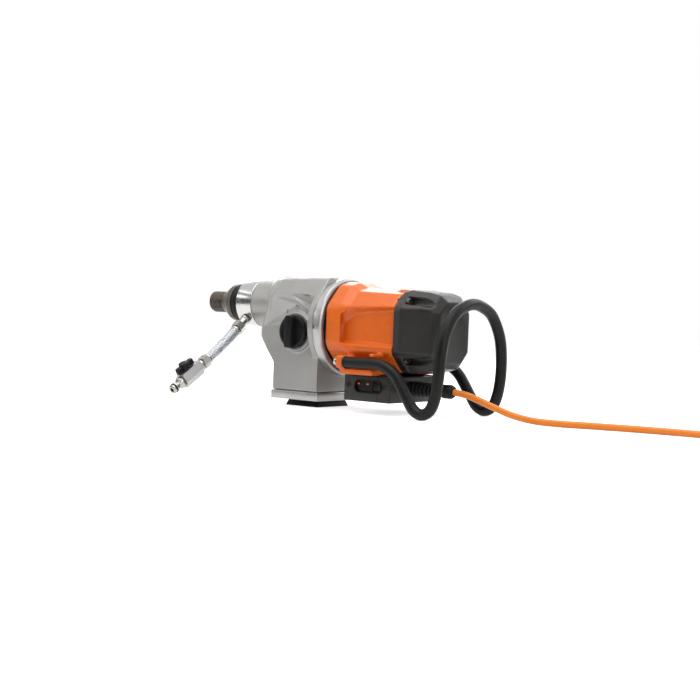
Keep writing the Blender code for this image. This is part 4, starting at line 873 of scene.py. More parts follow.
def motor_shell(size):
    """The orange shell: a flared front, its flats, a recess on each flank, and the handle's clamps."""
    front, back = SHELL_FRONT_X, SHELL_BACK_X
    shell = loft_along_x([
        (front, shell_outline(60 * MM, 63.5 * MM, 60 * MM, 35 * MM, 20 * MM)),
        (front + 1.5 * MM, shell_outline(61.5 * MM, 65 * MM, 61 * MM, 35 * MM, 20 * MM)),
        (front + 22 * MM, shell_outline(60.5 * MM, 64 * MM, 61 * MM, 34 * MM, 16 * MM)),
        (front + 38 * MM, shell_outline(58.5 * MM, 57 * MM, 60 * MM, 28 * MM, 6 * MM)),
        (back - 1 * MM, shell_outline(57.5 * MM, 54.5 * MM, 58 * MM, 26 * MM, 6 * MM)),
        (back, shell_outline(56.6 * MM, 53.6 * MM, 57 * MM, 26 * MM, 6 * MM))
    ])
    shapes = [shell]
    box_top = BOX_HIGH.z
    for side in (-1, 1):
        reach = side * (abs(TUBE_Y) + 6 * MM)
        clamp_low, clamp_high = TUBE_Z - 9 * MM, TUBE_Z + 9 * MM
        shapes.append(block(
            (BOX_LOW.x, side * 46 * MM, clamp_low), (BOX_LOW.x + 13 * MM, reach, clamp_high), 3 * MM
        ))
        shapes.append(block(
            (BOX_LOW.x + 5 * MM, side * 30 * MM, box_top + 0.3 * MM),
            (back - 16 * MM, reach - side * 4 * MM, TUBE_Z - TUBE_RADIUS - 0.6 * MM), 1.2 * MM
        ))
        shapes.append(block(
            (BOX_LOW.x + 54 * MM, side * 46 * MM, TUBE_Z + TUBE_RADIUS + 0.8 * MM),
            (BOX_LOW.x + 62 * MM, side * (abs(TUBE_Y) + 1 * MM), TUBE_Z + TUBE_RADIUS + 6 * MM), 1.6 * MM
        ))
    crest = MOTOR_AXIS.z + 54 * MM
    shapes.append(across(
        [
            (back - 26 * MM, crest - 4 * MM), (back - 14 * MM, crest + 2.4 * MM),
            (back - 1 * MM, crest + 2.4 * MM), (back - 1 * MM, crest - 4 * MM)
        ],
        -22 * MM, 22 * MM
    ))
    rooms = [
        side_panel(-1), side_panel(1), bar(46.3 * MM, back - front + 4 * MM, about_motor(front - 2 * MM))
    ]
    for y, z in screw_places():
        rooms.append(bar(2.8 * MM, 14 * MM, placed((back - 12 * MM, y, z), (1, 0, 0))))
    for side in (-1, 1):
        rooms.append(bar(
            3.4 * MM, 20 * MM, placed((BOX_LOW.x - 2 * MM, side * abs(TUBE_Y), TUBE_Z), (1, 0, 0))
        ))
    skin = cast(cut(fused(*shapes), *rooms), size.grain, 3)
    moulding = piece("motor_shell", skin, made("orange_moulding"), "housing", ["motor_housing"], 50)


def screw_places():
    return [(middle(f"cover_screw_{n}").y, middle(f"cover_screw_{n}").z) for n in (1, 2, 3, 4)]


def rear_cap(size):
    """The charcoal cap: a flared front band, then facets that close in behind, with four deep screw ways."""
    front, back = CAP_FRONT_X, CAP_BACK_X
    length = back - front
    sections = [
        (0, octagon(55 * MM, 54 * MM, 57 * MM, 25 * MM, 14 * MM)),
        (0.8 * MM, octagon(56 * MM, 55.2 * MM, 58 * MM, 25 * MM, 14 * MM)),
        (13 * MM, octagon(57.4 * MM, 56.4 * MM, 58.6 * MM, 26 * MM, 13 * MM)),
        (14 * MM, octagon(56 * MM, 55.6 * MM, 57.6 * MM, 25.6 * MM, 9 * MM)),
        (0.62 * length, octagon(51.5 * MM, 53.6 * MM, 55 * MM, 23 * MM, 6 * MM)),
        (0.86 * length, octagon(44.5 * MM, 49.5 * MM, 50.5 * MM, 20 * MM, 6 * MM)),
        (length, octagon(34 * MM, 41 * MM, 42 * MM, 15 * MM, 6 * MM))
    ]
    shell = loft_along_x([(front + x, outline) for x, outline in sections])
    seat = 14 * MM
    rooms = [spun(
        [(0, 0), (0, 46 * MM), (0.46 * length, 44 * MM), (length - 3 * MM, 30 * MM), (length - 3 * MM, 0)],
        about_motor(front - 1 * MM), 64, True
    )]
    for y, z in screw_places():
        rooms.append(bar(7 * MM, length, placed((front + seat, y, z), (1, 0, 0))))
        rooms.append(bar(2.9 * MM, 30 * MM, placed((front - 2 * MM, y, z), (1, 0, 0))))
        outward = Vector((0, y, z - MOTOR_AXIS.z)).normalized()
        scoop = Vector((front + 37 * MM, y, z)) + outward * 7 * MM
        dish = bmesh.new()
        bmesh.ops.create_uvsphere(dish, u_segments=32, v_segments=16, radius=11 * MM)
        bmesh.ops.scale(dish, vec=(1.5, 0.8, 0.8), verts=dish.verts[:])
        bmesh.ops.translate(dish, vec=scoop, verts=dish.verts[:])
        rooms.append(cleaned(dish))
    skin = cast(cut(shell, *rooms), size.grain, 3)
    cap = piece("rear_cap", skin, made("charcoal_moulding"), "housing", ["rear_cover"], 50)


# ---------------------------------------------------------------- spindle, collar and selector


def helix_thread(size, place):
    """A coarse thread: a bar whose skin rises and falls along one helix."""
    steps, pitch, length = 48, size.thread_pitch, size.thread_length
    rows = int(length / pitch * 10)
    shape = bmesh.new()
    ring_edges = []
    for row in range(rows + 1):
        x = length * row / rows
        points = []
        for step in range(steps):
            turn = step / steps
            phase = (x / pitch + turn) % 1
            depth = size.thread_depth * max(0.0, min(1.0, abs(phase - 0.5) * 3.2 - 0.3))
            runout = min(1, (length - x) / (2 * MM), (x + 0.2 * MM) / (1.2 * MM))
            radius = size.thread_radius - depth * max(0, runout) - (1.2 * MM if x < 0.5 * MM else 0)
            angle = 2 * math.pi * turn
            points.append((x, radius * math.cos(angle), radius * math.sin(angle)))
        ring_edges.append(ring_of(shape, points))
    for first, second in zip(ring_edges, ring_edges[1:]):
        bmesh.ops.bridge_loops(shape, edges=first + second)
    for end in (ring_edges[0], ring_edges[-1]):
        bmesh.ops.contextual_create(shape, geom=end)
    bmesh.ops.transform(shape, matrix=place, verts=shape.verts[:])
    return cleaned(shape)


def spindle_nose(size):
    """The dark spindle: threaded nose, cone and thrust rim, then the plain shaft inside."""
    tip, rim = TIP_X, RIM_X
    start = size.thread_length - 0.3 * MM
    bore = 6 * MM
    end, neck = high("spindle").x - tip, low("gear_housing").x - tip
    collar = low("water_collar").x - tip
    outline = [
        (start, bore, 0), (start, 16.4 * MM, 0.4 * MM), (start + 3 * MM, 17 * MM, 2 * MM),
        (rim - tip - 4 * MM, 25.4 * MM, 2 * MM), (rim - tip, 27.9 * MM, 1 * MM),
        (rim - tip + 8 * MM, 27.9 * MM, 0.6 * MM), (rim - tip + 8 * MM, 24.2 * MM, 0),
        (collar + 8 * MM, 24.2 * MM, 0), (collar + 8 * MM, 18.5 * MM, 0), (neck + 8 * MM, 18.5 * MM, 0),
        (neck + 8 * MM, 14 * MM, 0), (end - 12 * MM, 14 * MM, 0), (end - 12 * MM, 8 * MM, 0),
        (end, 8 * MM, 0.6 * MM), (end, 0, 0), (neck - 12 * MM, 0, 0), (neck - 14 * MM, bore, 0)
    ]
    shaft = spun([tuple(point) for point in rounded(outline, 3)], about_spindle(tip), 96)
    thread = cut(
        helix_thread(size, about_spindle(tip)),
        spun(
            [(-1 * MM, 0), (-1 * MM, bore + 1 * MM), (0.8 * MM, bore), (30 * MM, bore), (30 * MM, 0)],
            about_spindle(tip), 48, True
        )
    )
    nose = piece(
        "spindle_nose", joined(shaft, thread), made("phosphated_steel"), "spindle", ["spindle"], 32
    )
    lip = rounded(
        [
            (0, 24.8 * MM, 0), (0, 26.8 * MM, 0.6 * MM), (5 * MM, 26.8 * MM, 1 * MM),
            (9 * MM, 25.8 * MM, 1 * MM), (13 * MM, 28.6 * MM, 0.8 * MM), (14 * MM, 28.6 * MM, 0.4 * MM),
            (14 * MM, 24.8 * MM, 0)
        ],
        4
    )
    slinger = spun([tuple(point) for point in lip], about_spindle(low("slinger").x), 96)
    piece("slinger_ring", slinger, made("black_rubber"), "spindle", ["slinger"])


def hose_way(share):
    """The hose's direction at a share of its bend, from its nipple down to the valve."""
    angle = math.radians(50 + (58 - 50) * share)
    return Vector((0, -math.sin(angle), -math.cos(angle)))


def collar_middle():
    return Vector((middle("water_collar").x, SPINDLE_AXIS.y, SPINDLE_AXIS.z))


def water_collar(size):
    """The bright turned collar with eased rims, its seal and the port for the nipple."""
    front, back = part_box("water_collar")
    radius, length = size.collar_radius, back.x - front.x
    outline = rounded(
        [
            (0, radius - 4 * MM, 0.3 * MM), (0, radius, 1.3 * MM), (length, radius, 1 * MM),
            (length, 19 * MM, 0), (8.5 * MM, 19 * MM, 0), (8.5 * MM, radius - 4 * MM, 0)
        ],
        4
    )
    body = spun([tuple(point) for point in outline], about_spindle(front.x), 128)
    port = bar(6.2 * MM, 40 * MM, placed(collar_middle(), hose_way(0)), 0, 32)
    collar = piece(
        "water_collar_ring", cut(body, port), made("turned_aluminium"), "housing", ["water_collar"], 30
    )
    lip = rounded(
        [
            (0, 25 * MM, 0), (0, radius - 7 * MM, 0.6 * MM), (2.5 * MM, radius - 4.3 * MM, 0.5 * MM),
            (8 * MM, radius - 4.3 * MM, 0), (8 * MM, 25 * MM, 0)
        ],
        4
    )
    seal = spun([tuple(point) for point in lip], about_spindle(front.x), 96)
    piece("collar_lip_seal", seal, made("black_rubber"), "housing", ["collar_seal"])


def selector(size):
    """The gear knob: a thick disc with a bar grip across it, waisted in the middle."""
    base, tip = high("selector_knob").y, low("selector_knob").y
    at = Vector((KNOB_AT.x, base, KNOB_AT.z))
    out = placed(at, (0, -1, 0))
    radius, depth = size.knob_radius, base - tip
    disc = spun(
        [
            tuple(p)
            for p in rounded(
                [
                    (0, 0, 0), (0, radius - 1 * MM, 0), (1 * MM, radius, 0.5 * MM),
                    (6.5 * MM, radius, 1.6 * MM), (8 * MM, radius - 4 * MM, 1 * MM),
                    (6.8 * MM, radius - 6 * MM, 1 * MM), (6.8 * MM, 0, 0)
                ],
                4, False
            )
        ],
        out, 96, True
    )
    half = 7 * MM
    outline = rounded(
        [
            (half, radius - 1 * MM, 4 * MM), (half - 1.2 * MM, 0, 30 * MM), (half, 1 * MM - radius, 4 * MM),
            (-half, 1 * MM - radius, 4 * MM), (1.2 * MM - half, 0, 30 * MM),
            (-half, radius - 1 * MM, 4 * MM)
        ],
        6
    )
    bar_grip = prism(outline, depth - 2 * MM, placed(at - Vector((0, 2 * MM, 0)), (0, -1, 0)), 1.6 * MM, 4)
    knob = piece(
        "gear_knob", joined(disc, bar_grip), made("black_moulding"), "selector", ["selector_knob"], 40
    )
    line = block(
        (at.x - 0.7 * MM, tip - 0.15 * MM, at.z + 8 * MM),
        (at.x + 0.7 * MM, tip + 1 * MM, at.z + radius - 4 * MM), 0.2 * MM
    )
    piece("knob_pointer", line, made("black_moulding"), "selector")
    edge = ring(
        size.boss_radius - 1.2 * MM, radius + 0.8 * MM, 1 * MM,
        placed((KNOB_AT.x, base + 1 * MM, KNOB_AT.z), (0, -1, 0)), 0.4 * MM
    )
    piece("boss_rim", edge, made("silver_cast_paint"))


# ---------------------------------------------------------------- handle and its clamps


def handle_route():
    """The bent tube's middle line: along the motor, down to two floor loops, and up into the bow."""
    back, top = high("handle_tube").x - TUBE_RADIUS, high("handle_tube").z - TUBE_RADIUS
    start, half = low("handle_tube").x, abs(TUBE_Y)
    side = [
        (start, half, TUBE_Z), (start + 28 * MM, half, TUBE_Z), (start + 56 * MM, half, TUBE_Z),
        (back - 86 * MM, half, 66 * MM), (back - 72 * MM, half, 57 * MM), (back - 61 * MM, half, 43 * MM),
        (back - 50 * MM, half, 27 * MM), (back - 39 * MM, half, 13 * MM),
        (back - 26 * MM, half, TUBE_RADIUS), (back - 13 * MM, half, 14 * MM),
        (back - 5 * MM, half, 32 * MM), (back - 1 * MM, half, 60 * MM), (back, half - 3 * MM, 92 * MM),
        (back, half - 11 * MM, 117 * MM), (back, half - 30 * MM, 141 * MM),
        (back, half - 54 * MM, top - 3.5 * MM)
    ]
    return [(x, -y, z) for x, y, z in side] + [(back, 0, top)] + side[::-1]


def handle():
    """The rubber-covered tube, with a moulded ring where each end enters its clamp, and the clamp bolts."""
    tube = swept(smooth_route(handle_route(), 5 * MM), TUBE_RADIUS, 7)
    collars = []
    for side in (-1, 1):
        at = placed((low("handle_tube").x, side * abs(TUBE_Y), TUBE_Z), (1, 0, 0))
        collars.append(ring(TUBE_RADIUS + 0.5 * MM, TUBE_RADIUS - 1 * MM, 3 * MM, at, 0.4 * MM, 48))
    grip = piece(
        "handle_grip_tube", joined(tube, *collars), made("black_rubber"), "housing", ["handle_tube"], 40
    )
    for name in ("near", "far"):
        at = middle(f"clamp_bolt_{name}")
        start = low(f"clamp_bolt_{name}").x
        head = socket_screw(5 * MM, 4 * MM, 3 * MM, 16 * MM, placed((start, at.y, at.z), (1, 0, 0)))
        bolt = piece(
            f"clamp_screw_{name}", head, made("ground_steel"), "housing", [f"clamp_bolt_{name}"], 30
        )


def socket_screw(head_radius, head, shank_radius, length, place):
    """A cap screw whose head, with its hexagon socket, starts at the place and looks back along it."""
    outline = rounded(
        [
            (0, 0, 0), (0, head_radius, 0.7 * MM), (head, head_radius, 0.2 * MM), (head, shank_radius, 0),
            (length, shank_radius, 0.4 * MM), (length, 0, 0)
        ],
        3, False
    )
    body = spun([tuple(point) for point in outline], place, 40, True)
    socket = [
        (0.55 * head_radius * math.cos(math.radians(a)), 0.55 * head_radius * math.sin(math.radians(a)))
        for a in range(0, 360, 60)
    ]
    return cut(body, prism(socket, 0.6 * head + 1 * MM, place @ Matrix.Translation((-1 * MM, 0, 0))))


def cap_screws():
    for number, (y, z) in enumerate(screw_places(), 1):
        back, front = high(f"cover_screw_{number}").x, low(f"cover_screw_{number}").x
        screw = socket_screw(4.5 * MM, 4.5 * MM, 2.5 * MM, back - front, placed((back, y, z), (-1, 0, 0)))
        thing = piece(
            f"cap_screw_{number}", screw, made("phosphated_steel"), "housing", [f"cover_screw_{number}"], 30
        )


# ---------------------------------------------------------------- switch box


def switch_box():
    """The grey box under the motor with its recessed switch plate, screws, lamps and rocker."""
    corner, opposite, wall = BOX_LOW, BOX_HIGH, 3 * MM
    panel_low, panel_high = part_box("switch_panel")
    at_x, at_z = (panel_low.x + panel_high.x) / 2, (panel_low.z + panel_high.z) / 2
    shell = block(corner, opposite, 2.2 * MM, 4)
    room = block(
        corner + Vector((wall, wall, wall)),
        Vector((opposite.x - wall, opposite.y - wall, opposite.z + 5 * MM))
    )
    window = across(stadium(at_x, at_z, 24 * MM, 9 * MM, 8 * MM), corner.y - 3 * MM, corner.y + 9 * MM)
    lead_at = middle("cable_gland")
    hole = bar(5 * MM, 12 * MM, placed((opposite.x - 6 * MM, lead_at.y, lead_at.z), (1, 0, 0)), 0, 32)
    joint = block(
        (opposite.x - 22 * MM, corner.y - 1 * MM, corner.z - 1 * MM),
        (opposite.x - 21.4 * MM, corner.y + 0.5 * MM, opposite.z + 1 * MM)
    )
    tray = piece(
        "switch_box_shell", cut(shell, room, window, hole, joint), made("charcoal_moulding"), "housing",
        ["switch_box"], 30
    )
    rocker_low, rocker_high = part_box("switch_rocker")
    plate = across(stadium(at_x, at_z, 28 * MM, 12 * MM, 6 * MM), panel_low.y, panel_high.y)
    opening = block(
        (rocker_low.x - 1 * MM, panel_low.y - 2 * MM, rocker_low.z - 0.5 * MM),
        (rocker_high.x + 1 * MM, panel_high.y + 2 * MM, rocker_high.z + 0.5 * MM)
    )
    panel = piece(
        "switch_plate", cut(plate, opening), made("black_moulding"), "housing", ["switch_panel"], 30
    )
    frame_ring = cut(
        across(stadium(at_x, at_z, 24.4 * MM, 9.4 * MM, 8.4 * MM), corner.y - 0.8 * MM, corner.y + 1 * MM),
        across(stadium(at_x, at_z, 23 * MM, 8 * MM, 7 * MM), corner.y - 3 * MM, corner.y + 3 * MM)
    )
    piece("window_bezel", frame_ring, made("black_moulding"))
    for number, x in enumerate((corner.x + 8 * MM, opposite.x - 9 * MM), 1):
        spot = placed((x, corner.y - 0.5 * MM, at_z + 1 * MM), (0, 1, 0))
        screw = socket_screw(3 * MM, 1.6 * MM, 1.4 * MM, 5 * MM, spot)
        piece(f"plate_screw_{number}", screw, made("black_moulding"))
        cup = ring(
            4.2 * MM, 3.2 * MM, 1 * MM, placed((x, corner.y - 0.4 * MM, at_z + 1 * MM), (0, 1, 0)),
            0.3 * MM, 40
        )
        piece(f"plate_screw_cup_{number}", cup, made("charcoal_moulding"))
    for number, x in enumerate((at_x - 19 * MM, at_x - 3 * MM), 1):
        lens = block(
            (x - 2.4 * MM, panel_low.y - 1.2 * MM, at_z + 2 * MM),
            (x + 2.4 * MM, panel_low.y + 1 * MM, at_z + 5 * MM), 0.5 * MM
        )
        piece(f"indicator_lens_{number}", lens, made("red_lens"))
    middle_x = (rocker_low.x + rocker_high.x) / 2
    profile = rounded(
        [
            (rocker_low.x, rocker_low.y + 1.2 * MM, 1 * MM), (middle_x, rocker_low.y + 2.6 * MM, 12 * MM),
            (rocker_high.x, rocker_low.y, 1 * MM), (rocker_high.x - 1 * MM, rocker_high.y, 0.5 * MM),
            (rocker_low.x + 1 * MM, rocker_high.y, 0.5 * MM)
        ],
        5
    )
    key = loft([[(p[0], p[1], z) for p in profile] for z in (rocker_low.z, rocker_high.z)])
    bmesh.ops.bevel(
        key, geom=[e for e in key.edges if e.calc_face_angle(0) > 1.2], offset=0.5 * MM, segments=2,
        profile=0.5, affect="EDGES", material=-1
    )
    piece("rocker_key", cleaned(key), made("black_moulding"), "rocker", ["switch_rocker"], 30)


def stadium(x, z, half_x, half_z, radius):
    """A rounded rectangle of (x, z) points about a middle."""
    corners = [
        (x - half_x, z - half_z, radius), (x + half_x, z - half_z, radius),
        (x + half_x, z + half_z, radius), (x - half_x, z + half_z, radius)
    ]
    return rounded(corners, 6)


# ---------------------------------------------------------------- mains lead

LEAD_ROUTE = [  # from the gland's mouth to the coil, as the CAD's solid lies
    (0.2153, -0.010, 0.0365), (0.236, -0.009, 0.0335), (0.256, -0.007, 0.0275), (0.278, -0.004, 0.0195),
    (0.302, 0.001, 0.0115), (0.330, 0.009, 0.0062), (0.362, 0.020, 0.0048), (0.400, 0.032, 0.0048),
    (0.440, 0.043, 0.0048), (0.480, 0.0515, 0.0048), (0.520, 0.057, 0.0048), (0.560, 0.0598, 0.0048),
    (0.590, 0.0638, 0.0048),
]


def eased(share):
    share = min(max(share, 0.0), 1.0)
    return share * share * (3 - 2 * share)


def coil_route(size):
    """The wound end of the lead: turns side by side in three layers, then up to the plug on top."""
    corner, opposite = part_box("cable_coil")
    centre = (corner + opposite) / 2
    radius, gap = size.lead_radius, 2 * size.lead_radius + 0.05 * MM
    outer = (opposite.x - corner.x) / 2 - radius
    lanes = [
        (across, radius + layer * gap)
        for across, layer in ((0, 0), (1, 0), (2, 0), (2, 1), (1, 1), (0, 1), (1, 2), (0, 2))
    ]
    start = math.radians(-82)
    steps = 24
    points = []
    for (across, level), (after, after_level) in zip(lanes, lanes[1:]):
        for step in range(steps):
            share = step / steps
            ease = eased((share - 0.6) / 0.4)
            angle = start + 2 * math.pi * share
            reach = outer - gap * (across + (after - across) * ease)
            points.append(Vector((
                centre.x + reach * math.cos(angle), centre.y + reach * math.sin(angle),
                level + (after_level - level) * ease
            )))
    return points + rise_to_plug(centre, outer, lanes[-1][1])


def rise_to_plug(centre, reach, level):
    """The last stretch: round the coil's edge, climbing, and over into the back of the plug."""
    corner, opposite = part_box("plug")
    tail = Vector((opposite.x, (corner.y + opposite.y) / 2, (corner.z + opposite.z) / 2))
    bend = centre.x + reach - tail.x
    turn = Vector((tail.x, tail.y - bend, 0))
    flat = [
        (centre.x + reach * math.cos(math.radians(angle)), centre.y + reach * math.sin(math.radians(angle)))
        for angle in range(-82, 0, 15)
    ]
    flat.append((centre.x + reach, centre.y + 8 * MM))
    flat += [
        (turn.x + bend * math.cos(math.radians(angle)), turn.y + bend * math.sin(math.radians(angle)))
        for angle in (0, 22.5, 45, 67.5, 90)
    ]
    points = [
        Vector((x, y, level + (tail.z - level) * eased(number / (len(flat) - 1))))
        for number, (x, y) in enumerate(flat)
    ]
    return points + [tail - Vector((12 * MM, 0, 0))]


def length_of(points):
    return sum((Vector(b) - Vector(a)).length for a, b in zip(points, points[1:]))


def lead(size):
    """The orange lead: out of its bellows, down to the floor, away, and wound with its plug on top."""
    route = smooth_route([*LEAD_ROUTE, *coil_route(size)], 6 * MM)
    cable = piece(
        "mains_lead", swept(route, size.lead_radius, 5), made("orange_jacket"), "housing",
        ["power_cable", "cable_coil"], 60
    )
    tail = plug()
    bellows(size)


def plug():
    """A two-pin plug in one moulded piece, its grip ringed and its pins round."""
    corner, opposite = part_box("plug")
    at = placed((opposite.x, (corner.y + opposite.y) / 2, (corner.z + opposite.z) / 2), (-1, 0, 0))
    outline = [(0, 0, 0), (0, 5.5 * MM, 0.5 * MM)]
    for rib in range(3):
        x = 3 * MM + rib * 4 * MM
        outline += [
            (x, 6 * MM + rib * MM, 0.5 * MM), (x + 1.4 * MM, 5 * MM + rib * MM, 0.4 * MM),
            (x + 2.6 * MM, 5 * MM + rib * MM, 0.4 * MM)
        ]
    outline += [
        (17 * MM, 11 * MM, 4 * MM), (19 * MM, 17 * MM, 2 * MM), (43 * MM, 18 * MM, 1.5 * MM),
        (46 * MM, 16 * MM, 1 * MM), (46 * MM, 0, 0)
    ]
    body = spun([tuple(point) for point in rounded(outline, 3, False)], at, 64, True)
    tail = piece("plug_body", body, made("black_rubber"), "housing", ["plug"], 40)
    for number, side in enumerate((-1, 1), 1):
        pin_at = at @ Matrix.Translation((45 * MM, side * 9.5 * MM, 0))
        pin = piece(f"plug_pin_{number}", bar(2.4 * MM, 20 * MM, pin_at, 1 * MM, 32), made("nickel_plate"))
    return tail


def bellows(size):
    """The ribbed rubber strain relief and the gland nut that the lead comes out of."""
    corner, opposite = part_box("strain_relief")
    y, z = (corner.y + opposite.y) / 2, (corner.z + opposite.z) / 2
    length, ribs = opposite.x - corner.x, size.bellows_ribs
    crest, root = (opposite.y - corner.y) / 2, (opposite.y - corner.y) / 2 - 3.2 * MM
    bore = size.lead_radius + 0.15 * MM
    outline = [(0, bore, 0), (0, crest - 0.5 * MM, 0.8 * MM), (2.6 * MM, crest - 0.5 * MM, 0.8 * MM)]
    pitch = (length - 5 * MM) / ribs
    for rib in range(ribs):
        x = 2.6 * MM + rib * pitch
        taper = 1.6 * MM * rib / ribs
        outline += [
            (x + 0.22 * pitch, root - taper, 1 * MM), (x + 0.40 * pitch, root - taper, 1 * MM),
            (x + 0.62 * pitch, crest - taper, 1.2 * MM), (x + 0.98 * pitch, crest - taper, 1.2 * MM)
        ]
    outline += [(length, root - 1.6 * MM, 0.8 * MM), (length, bore, 0)]
    skin = spun([tuple(point) for point in rounded(outline, 4)], placed((corner.x, y, z), (1, 0, 0)), 72)
    relief = piece("lead_bellows", skin, made("black_rubber"), "housing", ["strain_relief"], 40)
    corner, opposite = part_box("cable_gland")
    length, radius = opposite.x - corner.x, (opposite.y - corner.y) / 2
    at = placed((corner.x, y, z), (1, 0, 0))
    nut = [
        (0, bore, 0), (0, 7.6 * MM, 0.5 * MM), (length - 17 * MM, 7.6 * MM, 0.4 * MM),
        (length - 16 * MM, radius - 0.4 * MM, 0.6 * MM), (length - 4 * MM, radius - 0.4 * MM, 1 * MM),
        (length, radius - 2.6 * MM, 0.8 * MM), (length, bore, 0)
    ]
    body = spun([tuple(point) for point in rounded(nut, 3)], at, 64)
    flats = [
        block(
            (length - 14 * MM, -1 * MM, radius - 1 * MM), (length - 5 * MM, 1 * MM, radius + 2 * MM),
            0.5 * MM
        )
        for _ in range(12)
    ]
    for number, groove in enumerate(flats):
        turn = Matrix.Rotation(math.radians(30 * number), 4, "X")
        bmesh.ops.transform(groove, matrix=at @ turn, verts=groove.verts[:])
    gland = piece("lead_gland", cut(body, *flats), made("black_moulding"), "housing", ["cable_gland"], 35)


# ---------------------------------------------------------------- water feed


def hose_stations():
    """The hose's middle line, as the CAD's solid lies."""
    start = 36.2 * MM + 0.3 * MM + 13.5 * MM + 13 * MM + 0.6 * MM
    count, length = 14, 74 * MM
    point = collar_middle() + hose_way(0) * start
    points = [point.copy()]
    for i in range(count):
        point = point + hose_way((i + 0.5) / count) * (length / count)
        points.append(point.copy())
    return points


def hexagon(across_flats, length, place, ease, bore=0.0):
    """A length of hexagon bar with turned-down corners and, where it has one, a bore."""
    corner = across_flats / math.sqrt(3)
    outline = [
        (corner * math.sin(math.radians(a)), corner * math.cos(math.radians(a))) for a in range(0, 360, 60)
    ]
    stock = prism(outline, length, place)
    cone = spun(
        [
            (-ease, across_flats / 2 - 0.6 * ease), (-ease, 2 * corner), (1.2 * ease, 2 * corner),
            (1.2 * ease, corner)
        ],
        place, 48
    )
    far = place @ Matrix.Translation((length, 0, 0)) @ Matrix.Rotation(math.pi, 4, "Z")
    other = spun(
        [
            (-ease, across_flats / 2 - 0.6 * ease), (-ease, 2 * corner), (1.2 * ease, 2 * corner),
            (1.2 * ease, corner)
        ],
        far, 48
    )
    cutters = [cone, other]
    if bore:
        cutters.append(bar(bore, length + 4 * MM, place @ Matrix.Translation((-2 * MM, 0, 0)), 0, 40))
    return cut(stock, *cutters)


def braid(points, radius, size):
    """Flat bundles of wire that wind both ways round the hose, each over and under the others."""
    total = length_of(points)
    strands = size.braid_strands
    wire = size.braid_wire
    turns = total / (2 * math.pi * radius) * 1.15
    along = [0.0]
    for a, b in zip(points, points[1:]):
        along.append(along[-1] + (b - a).length)
    shapes = []
    samples = 90
    for way in (-1, 1):
        for strand in range(strands):
            line = []
            for sample in range(samples + 1):
                share = sample / samples
                centre, tangent = station(points, along, share * total)
                across_x = Vector((1, 0, 0))
                across_n = tangent.cross(across_x).normalized()
                angle = way * 2 * math.pi * turns * share + 2 * math.pi * strand / strands
                weave = math.cos(
                    strands * (way * angle - 2 * math.pi * strand / strands) + (0 if way < 0 else math.pi)
                )
                reach = radius - wire + 0.35 * wire * weave
                line.append(centre + reach * (math.cos(angle) * across_x + math.sin(angle) * across_n))
            shapes.append(swept(line, wire, 1))
    return joined(*shapes)


def station(points, along, distance):
    """The point and direction at a distance along a line of points."""
    for i in range(len(points) - 1):
        if distance <= along[i + 1] or i == len(points) - 2:
            span = points[i + 1] - points[i]
            return points[i] + span * ((distance - along[i]) / (along[i + 1] - along[i])), span.normalized()
    return points[-1], (points[-1] - points[-2]).normalized()


